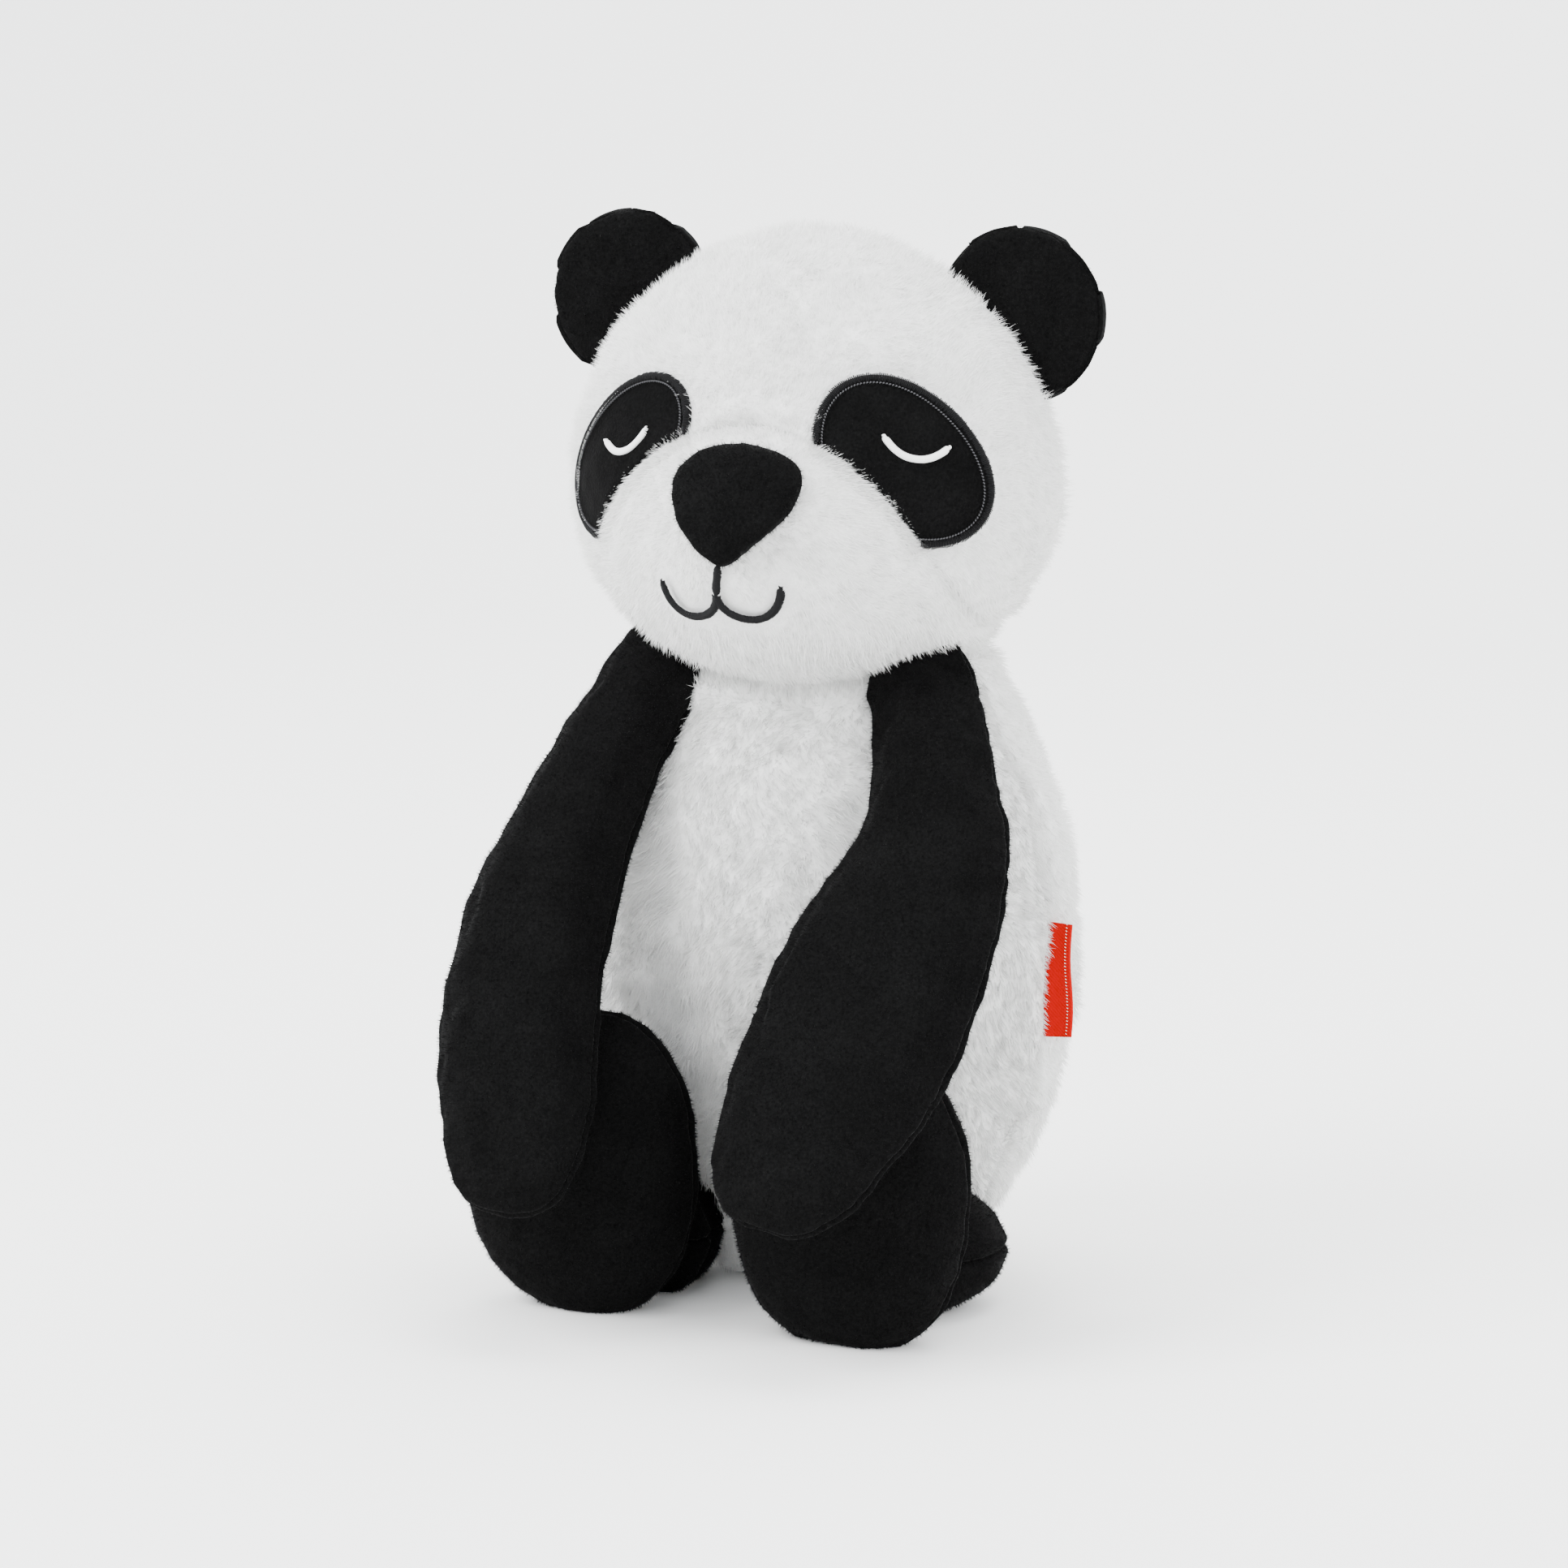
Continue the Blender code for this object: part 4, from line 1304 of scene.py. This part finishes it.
@dataclass
class Ear:
    """A flattened round of black velour."""

    side: Side
    centre: tuple[float, float, float]
    radius: float = 24.5 * MM
    half_thickness: float = 5.2 * MM

    def build(self) -> None:
        """Makes the ear's two panels and their nap."""
        ear = f"{self.side.label}_ear"
        form = Form.pressed(self._shape, 6)
        seam = SeamPlane(self.centre, (0.0, 1.0, 0.0))
        form = seam.snap(form, 0.2 * MM)
        height = VELOUR_SEAM.height(form.points, seam.distance(form.points), 70)
        form = form.raised(height + 0.4 * MM * ripple(form.points, 13 * MM, 71))
        front = seam.distance(form.centres()) < 0
        velour_halves(ear, form, front, ("front", "back"), ear, "wadding")

    def _shape(self, p: Points) -> Points:
        """A ball pressed into the ear."""
        x = (self.centre[0] + self.radius * p[:, 0]) * self.side.value
        y = self.centre[1] + self.half_thickness * p[:, 2]
        return np.stack((x, y, self.centre[2] + self.radius * p[:, 1]), axis=1)


@dataclass
class Body:
    """The white body: a belly, two back panels and a base."""

    profile: tuple[tuple[float, float], ...] = (
        (0.000, 0.000),
        (0.001, 0.030),
        (0.011, 0.042),
        (0.027, 0.0530),
        (0.050, 0.0640),
        (0.086, 0.0715),
        (0.118, 0.0705),
        (0.146, 0.0650),
        (0.170, 0.0530),
        (0.185, 0.0425),
        (0.1905, 0.0260),
        (0.1915, 0.000),
    )
    depth_share: float = 0.77
    centre_y: float = 5.0 * MM
    seam_y: float = -5.0 * MM
    nape: tuple[float, float, float] = (0.0, -6.0 * MM, 0.2355)
    nape_radius: float = 60.8 * MM

    def build(self) -> None:
        """Makes the panels, the neck and the pile."""
        skin = BODY_FILLING.stuff(Form.pressed(self._shape, 6))
        skin = Form(self._dished(skin.points), skin.faces)
        side = SeamPlane((0.0, self.seam_y, 0.0), (0.0, 1.0, 0.0))
        middle = SeamPlane((0.0, 0.0, 0.0), (1.0, 0.0, 0.0))
        base = SeamPlane((0.0, 0.0, 1.6 * MM), (0.0, 0.0, 1.0))
        for plane in (side, middle, base):
            skin = plane.snap(skin, 0.3 * MM)
        skin = skin.raised(self._relief(skin, side, middle))
        skin.points[:, 2] = np.maximum(skin.points[:, 2], 0.0)
        centres = skin.centres()
        low = base.distance(centres) < 0
        front = side.distance(centres) < 0
        left = centres[:, 0] > 0
        panels = {
            "belly": (front & ~low, ["belly_panel", "body_stuffing"], BELLY_PILE),
            "body_back_left": (~front & left & ~low, ["body_back_left_panel"], BACK_PILE),
            "body_back_right": (~front & ~left & ~low, ["body_back_right_panel"], BACK_PILE),
        }
        for name, (chosen, nodes, pile) in panels.items():
            fit(panel_from(f"{name}_skin", skin, chosen, PILE_BACKING, FUR_CLOTH), "body", nodes)
            fit(pile.grow(f"{name}_pile", skin, chosen, self._comb, self._length), "body")
        base_skin = panel_from("base_skin", skin, low, PILE_BACKING, THIN_CLOTH)
        fit(base_skin, "body", ["base_panel", "pellet_bag"])
        self._neck()

    def _shape(self, p: Points) -> Points:
        """Presses a ball into the body.

        Args:
            p: points of the ball.

        Returns:
            The same points on the body.
        """
        top = self.profile[-1][0]
        z = top * (p[:, 2] + 1) / 2
        half_width = curve_value(self.profile, z)
        ring = np.maximum(np.hypot(p[:, 0], p[:, 1]), 1e-6)
        x = half_width * p[:, 0] / ring
        y = self.centre_y + half_width * self.depth_share * p[:, 1] / ring
        return np.stack((x, y, z), axis=1)

    def _dished(self, points: Points) -> Points:
        """Presses the top down to the hollow that the head sits in."""
        centre = np.array(self.nape)
        out = points - centre
        far = np.linalg.norm(out, axis=1, keepdims=True)
        return np.where(far < self.nape_radius, centre + out / np.maximum(far, 1e-6) * self.nape_radius, points)

    def _relief(self, skin: Form, side: SeamPlane, middle: SeamPlane) -> np.ndarray:
        """Seams and soft lumps."""
        points = skin.points
        height = 1.3 * MM * ripple(points, 30 * MM, 83) + 0.9 * MM * ripple(points, 12 * MM, 84)
        height += PILE_SEAM.height(points, side.distance(points), 85)
        behind = points[:, 1] > self.seam_y
        return height + np.where(behind, PILE_SEAM.height(points, middle.distance(points), 86), 0.0)

    def _comb(self, points: Points, ups: Points) -> Points:
        """The pile falls, turns in places, and stands up round the hollow under the head."""
        far = np.linalg.norm(points - np.array(self.nape), axis=1)
        rim = 1 - smooth_step(far, 66 * MM, 74 * MM)
        fall = np.array((0.0, 0.0, -1.0)) * (1 - 2.6 * rim)[:, None]
        return fall + 0.8 * swirl(points, 26 * MM, 90) * (1 - rim)[:, None]

    def _length(self, points: Points) -> np.ndarray:
        """Shorter pile near the floor, beside the label and in the hollow under the head."""
        share = 0.5 + 0.5 * smooth_step(points[:, 2], 3 * MM, 14 * MM)
        low, high = span("side_label")
        beside = (np.abs(points[:, 1] - (low.y + high.y) / 2) < 5 * MM) & (points[:, 0] > 0)
        share[beside & (points[:, 2] > low.z) & (points[:, 2] < high.z + 3 * MM)] *= 0.55
        far = np.linalg.norm(points - np.array(self.nape), axis=1)
        return share * (0.4 + 0.6 * smooth_step(far, self.nape_radius, 62.5 * MM))

    def _neck(self) -> None:
        """The short soft neck in the hollow."""
        ball, faces = unit_ball(4)
        half_sizes, centre = np.array((27 * MM, 25 * MM, 5.0 * MM)), np.array((0.0, -2 * MM, 0.1770))
        points = ball * half_sizes + centre
        points = points + 0.4 * MM * ripple(points, 9 * MM, 95)[:, None] * ball
        form = Form(points, outward(points, faces))
        neck = panel_from("neck_skin", form, np.ones(len(form.faces), bool), PILE_BACKING, THIN_CLOTH)
        fit(neck, "neck", ["neck_stuffing"])


@dataclass
class Gather:
    """The drawn-up end of a limb's cover, pleated round."""

    name: str
    place: tuple[float, float, float]
    radius: float
    body: str
    pleats: int = 9
    pleat_depth: float = 0.10

    def build(self) -> None:
        """Makes the pleated knot."""
        ball, faces = unit_ball(4)
        turn = np.arctan2(ball[:, 2], ball[:, 0])
        folds = 1 + self.pleat_depth * np.cos(self.pleats * turn) * np.hypot(ball[:, 0], ball[:, 2])
        points = ball * (self.radius * folds)[:, None] + np.array(self.place)
        piece = make_object(f"{self.name}_velour", points, outward(points, faces), VELOUR)
        fit(piece, self.body, [self.name])


def limb_ring(p: Points, roundness: float) -> tuple[np.ndarray, np.ndarray]:
    """Directions round a limb, shrunk so that its ends are round."""
    ring = np.maximum(np.hypot(p[:, 0], p[:, 1]), 1e-6)
    size = np.maximum(1 - np.abs(p[:, 2]) ** roundness, 0.0) ** (1 / roundness)
    return size * p[:, 0] / ring, size * p[:, 1] / ring


@dataclass
class Arm:
    """A long flat velour arm that lies in one sloping plane, with its seam round the edge."""

    side: Side
    slope: float
    path: tuple[tuple[float, float], ...]
    half_widths: tuple[tuple[float, float], ...] = (
        (-0.017, 0.0215),
        (0.014, 0.0180),
        (0.035, 0.0180),
        (0.070, 0.0218),
        (0.115, 0.0238),
        (0.165, 0.0255),
    )
    half_thicknesses: tuple[tuple[float, float], ...] = (
        (-0.017, 0.0070),
        (0.030, 0.0105),
        (0.070, 0.0120),
        (0.115, 0.0115),
        (0.165, 0.0115),
    )
    shoulder: tuple[float, float, float] = (0.0, -29.0 * MM, 0.1775)
    roundness: float = 3.2

    def build(self) -> None:
        """Makes the arm's two panels and their nap."""
        name = self.side.label
        form = LIMB_FILLING.stuff(Form.pressed(self._shape, 6))
        out = (0.0, -math.cos(self.slope), math.sin(self.slope))
        seam = SeamPlane(self.shoulder, out)
        form = seam.snap(form, 0.25 * MM)
        relief = VELOUR_SEAM.height(form.points, seam.distance(form.points), 100 + self.side.value)
        relief += 0.9 * MM * ripple(form.points, 26 * MM, 103 + self.side.value)
        form = form.raised(relief)
        outer = seam.distance(form.centres()) > 0
        velour_halves(f"{name}_arm", form, outer, ("outer", "inner"), f"{name}_arm")
        place = (44.0 * MM * self.side.value, -24.3 * MM, 0.1690)
        Gather(f"{name}_shoulder_gather", place, 2.7 * MM, f"{name}_shoulder").build()

    def _shape(self, p: Points) -> Points:
        """Presses a ball into the arm, along its path in the sloping plane.

        Args:
            p: points of the ball.

        Returns:
            The same points on the arm.
        """
        first, last = self.path[0][0], self.path[-1][0]
        s = first + (last - first) * (1 - p[:, 2]) / 2
        along = np.array((0.0, -math.sin(self.slope), -math.cos(self.slope)))
        out = np.array((0.0, -math.cos(self.slope), math.sin(self.slope)))
        step = 4 * MM
        drift = (curve_value(self.path, s + step) - curve_value(self.path, s - step)) / (2 * step)
        sideways = unit(np.array((1.0, 0.0, 0.0)) - along * drift[:, None])
        middle = np.array(self.shoulder) + along * s[:, None]
        middle[:, 0] += curve_value(self.path, s)
        across, thick = limb_ring(p, self.roundness)
        across = across * curve_value(self.half_widths, s)
        thick = thick * curve_value(self.half_thicknesses, s)
        points = middle + sideways * across[:, None] + out * thick[:, None]
        points[:, 0] *= self.side.value
        return points


@dataclass
class Leg:
    """An upright oval foot in front of a short thigh."""

    side: Side
    foot: tuple[float, float, float]
    half_sizes: tuple[float, float, float] = (33.0 * MM, 18.0 * MM, 42.5 * MM)
    fullness: float = 2.3
    hip: tuple[float, float] = (46.7 * MM, -20.1 * MM)
    bend_x: float = 56.0 * MM
    thigh_z: float = 17.5 * MM
    thigh_half: float = 16.5 * MM
    thigh_half_width: float = 20.0 * MM
    thigh_in: float = 4.0 * MM
    hip_turn: float = math.radians(33.0)

    def build(self) -> None:
        """Makes the foot, the thigh and the hip's gather."""
        name = self.side.label
        foot_seam = SeamPlane((0.0, self.foot[1], 0.0), (0.0, 1.0, 0.0))
        foot = self._sewn(self._foot_shape, foot_seam, 120)
        behind = foot_seam.distance(foot.centres()) > 0
        velour_halves(f"{name}_foot", foot, behind, ("upper", "sole"), f"{name}_foot")
        thigh_seam = SeamPlane((0.0, 0.0, self.thigh_z), (0.0, 0.0, 1.0))
        thigh = self._sewn(self._thigh_shape, thigh_seam, 130)
        above = thigh_seam.distance(thigh.centres()) > 0
        velour_halves(f"{name}_thigh", thigh, above, ("top", "under"), "body")
        place = (43.3 * MM * self.side.value, -17.3 * MM, 18.0 * MM)
        Gather(f"{name}_hip_gather", place, 4.0 * MM, "body").build()

    def _sewn(self, shape: Shape, seam: SeamPlane, seed: int) -> Form:
        """Stuffs a cover and sews its seam.

        Args:
            shape: what the ball is pressed into.
            seam: the seam's plane.
            seed: which lumps and puckers.

        Returns:
            The finished form.
        """
        form = seam.snap(LIMB_FILLING.stuff(Form.pressed(shape, 5)), 0.25 * MM)
        relief = VELOUR_SEAM.height(form.points, seam.distance(form.points), seed + self.side.value)
        relief += 0.8 * MM * ripple(form.points, 24 * MM, seed + 3 + self.side.value)
        form = form.raised(relief)
        form.points[:, 2] = np.maximum(form.points[:, 2], 0.2 * MM)
        return form

    def _foot_shape(self, p: Points) -> Points:
        """A ball pressed into the foot."""
        full = np.sign(p) * np.abs(p) ** (2 / self.fullness)
        points = np.array(self.foot) + full * np.array(self.half_sizes)
        points[:, 0] *= self.side.value
        return points

    def _thigh_shape(self, p: Points) -> Points:
        """Presses a ball into the thigh, bent from the hip to the heel.

        Args:
            p: points of the ball.

        Returns:
            The same points on the thigh.
        """
        hip = np.array((self.hip[0] - self.thigh_in, self.hip[1], self.thigh_z))
        heel = np.array((self.foot[0] - self.thigh_in, self.foot[1] + self.half_sizes[1] + 0.6 * MM, self.thigh_z))
        bend = np.array((self.bend_x, (hip[1] + heel[1]) / 2, self.thigh_z))
        t = ((1 - p[:, 2]) / 2)[:, None]
        middle = hip * (1 - t) ** 2 + bend * 2 * t * (1 - t) + heel * t**2
        hip_side = np.array((math.cos(self.hip_turn), math.sin(self.hip_turn), 0.0))
        sideways = hip_side * (1 - t) + np.array((1.0, 0.0, 0.0)) * t
        across, up = limb_ring(p, 3.2)
        points = middle + sideways * (self.thigh_half_width * across)[:, None]
        points[:, 2] += self.thigh_half * up
        points[:, 0] *= self.side.value
        return points


@dataclass
class SideLabel:
    """A folded ribbon caught in the left side seam, with its sewn edge out."""

    ply: float = 0.35 * MM
    gap: float = 0.22 * MM
    rise: float = 2.0 * MM

    def build(self) -> None:
        """Makes the ribbon and the stitches along its fold."""
        low, high = span("side_label")
        middle_y = (low.y + high.y) / 2
        root, fold = low.x - 3.0 * MM, high.x - 2.6 * MM
        half = (self.ply + self.gap) / 2
        bend = [math.pi * k / 6 for k in range(7)]
        path = [(root + (fold - half - root) * k / 9, -half) for k in range(9)]
        path += [(fold - half + half * math.sin(b), -half * math.cos(b)) for b in bend]
        path += [(fold - half - (fold - half - root) * k / 9, half) for k in range(1, 10)]
        rows = 35
        points, faces = [], []
        for row in range(rows):
            share = row / (rows - 1)
            z = low.z + self.rise + (high.z - low.z) * share
            for x, y in path:
                out = (x - root) / (fold - root)
                sway = out * (0.5 * MM * math.sin(5.2 * share + 0.4) - 0.3 * MM)
                lean = out * 0.5 * MM * math.cos(3.0 * share)
                points.append((x + 0.3 * MM * math.sin(7 * share), middle_y + y + sway, z + lean))
        width = len(path)
        for row in range(rows - 1):
            for k in range(width - 1):
                start = row * width + k
                faces.append((start, start + 1, start + 1 + width, start + width))
        ribbon = make_object("side_label_ribbon", np.array(points), faces, RED_RIBBON)
        cloth = ribbon.modifiers.new("ply", "SOLIDIFY")
        cloth.thickness = self.ply
        cloth.offset = 0.0
        grid = np.array(points).reshape(rows, width, 3)
        edge = grid[:, 8] + np.array((0.0, -self.ply / 2 - 0.05 * MM, 0.0))
        stitches = EDGE_STITCH.sew("side_label_edge_stitch", edge, np.tile((0.0, -1.0, 0.0), (rows, 1)))
        fit(ribbon, "label", ["side_label"])
        fit(stitches, "label")


class Studio:
    """A pale paper sweep, soft lights and the camera."""

    target_z = 0.1445
    turn = math.radians(22.2)
    height = math.radians(9.0)
    distance = 1.5
    offset = -11.7 * MM
    focal_length = 117.4
    sensor_width = 36.0

    def build(self) -> None:
        """Sets up the floor, the lights and the camera."""
        self._sweep()
        self._world()
        self._lamp("key", (-1.3, -1.5, 1.9), 1.5, 100.0)
        self._lamp("fill", (1.7, -1.3, 1.1), 1.6, 26.0)
        self._lamp("top", (0.1, 0.5, 2.0), 1.6, 46.0)
        self._camera()

    def _sweep(self) -> None:
        """A floor that curves up behind."""
        front, bend_y, radius, top, half_width = -4.0, 1.4, 0.9, 4.0, 5.0
        bend = np.linspace(0.1, math.pi / 2, 12)
        profile = [(front, 0.0), (bend_y, 0.0)]
        profile += [(bend_y + radius * math.sin(a), radius - radius * math.cos(a)) for a in bend]
        profile.append((bend_y + radius, top))
        points = [(x, y, z) for y, z in profile for x in (-half_width, half_width)]
        faces = [(2 * k, 2 * k + 1, 2 * k + 3, 2 * k + 2) for k in range(len(profile) - 1)]
        make_object("paper_sweep", np.array(points), faces, BACKDROP)

    def _world(self) -> None:
        """An even pale surround."""
        world = bpy.data.worlds.new("surround")
        world.use_nodes = True
        background = world.node_tree.nodes["Background"]
        background.inputs["Color"].default_value = linear("#f4f6fa")
        background.inputs["Strength"].default_value = 3.1
        bpy.context.scene.world = world

    def _lamp(self, name: str, place: tuple[float, float, float], size: float, power: float) -> None:
        """Adds one soft lamp aimed at the toy.

        Args:
            name: the lamp's name.
            place: where it hangs.
            size: how wide it is, in metres.
            power: how bright it is, in watts.
        """
        light = bpy.data.lights.new(name, "AREA")
        light.size = size
        light.energy = power
        lamp = bpy.data.objects.new(name, light)
        lamp.location = place
        aim = Vector((0.0, -20 * MM, 0.12)) - Vector(place)
        lamp.rotation_euler = aim.to_track_quat("-Z", "Y").to_euler()
        bpy.context.scene.collection.objects.link(lamp)

    def _camera(self) -> None:
        """The camera, a little to the toy's left and above it."""
        back = Vector(
            (
                math.sin(self.turn) * math.cos(self.height),
                -math.cos(self.turn) * math.cos(self.height),
                math.sin(self.height),
            )
        )
        beside = Vector((math.cos(self.turn), math.sin(self.turn), 0.0))
        lens = bpy.data.cameras.new("camera")
        lens.lens = self.focal_length
        lens.sensor_width = self.sensor_width
        camera = bpy.data.objects.new("camera", lens)
        camera.location = Vector((0.0, 0.0, self.target_z)) + back * self.distance + beside * self.offset
        camera.rotation_euler = (-back).to_track_quat("-Z", "Y").to_euler()
        bpy.context.scene.collection.objects.link(camera)
        bpy.context.scene.camera = camera


LEFT_ARM_PATH = (
    (-0.017, 0.0365),
    (0.029, 0.0518),
    (0.059, 0.0552),
    (0.089, 0.0494),
    (0.118, 0.0446),
    (0.143, 0.0384),
    (0.165, 0.0312),
)
LEFT_ARM_HALF_WIDTHS = (
    (-0.017, 0.0215),
    (0.014, 0.0182),
    (0.035, 0.0192),
    (0.070, 0.0270),
    (0.100, 0.0312),
    (0.125, 0.0310),
    (0.165, 0.0282),
)
RIGHT_ARM_PATH = (
    (-0.017, 0.0365),
    (0.029, 0.0500),
    (0.059, 0.0560),
    (0.089, 0.0566),
    (0.118, 0.0534),
    (0.143, 0.0472),
    (0.165, 0.0412),
)


def main() -> None:
    """Builds the toy in order, then the studio."""
    logging.basicConfig(level=logging.INFO, format="%(name)s: %(message)s")
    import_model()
    form = HeadForm.from_frame()
    right_eye = EyeSpot(Side.RIGHT, form, 39.2 * MM, 0.2435, lid_x=38.4 * MM, lid_fall=4.4 * MM)
    eyes = [EyeSpot(Side.LEFT, form), right_eye]
    Head(form, eyes).build()
    for eye in eyes:
        eye.build()
    NoseAndMouth(form).build()
    for side, centre in EAR_CENTRES.items():
        Ear(side, centre).build()
    Body().build()
    Arm(Side.LEFT, math.radians(36.5), LEFT_ARM_PATH, LEFT_ARM_HALF_WIDTHS).build()
    Arm(Side.RIGHT, math.radians(35.5), RIGHT_ARM_PATH).build()
    Leg(Side.LEFT, (39.0 * MM, -78.0 * MM, 42.5 * MM)).build()
    wide_thigh = {"thigh_half_width": 25.0 * MM, "thigh_in": 14.0 * MM, "thigh_half": 20.0 * MM}
    Leg(Side.RIGHT, (46.5 * MM, -71.0 * MM, 42.5 * MM), **wide_thigh).build()
    SideLabel().build()
    Studio().build()


if __name__ == "__main__":
    main()
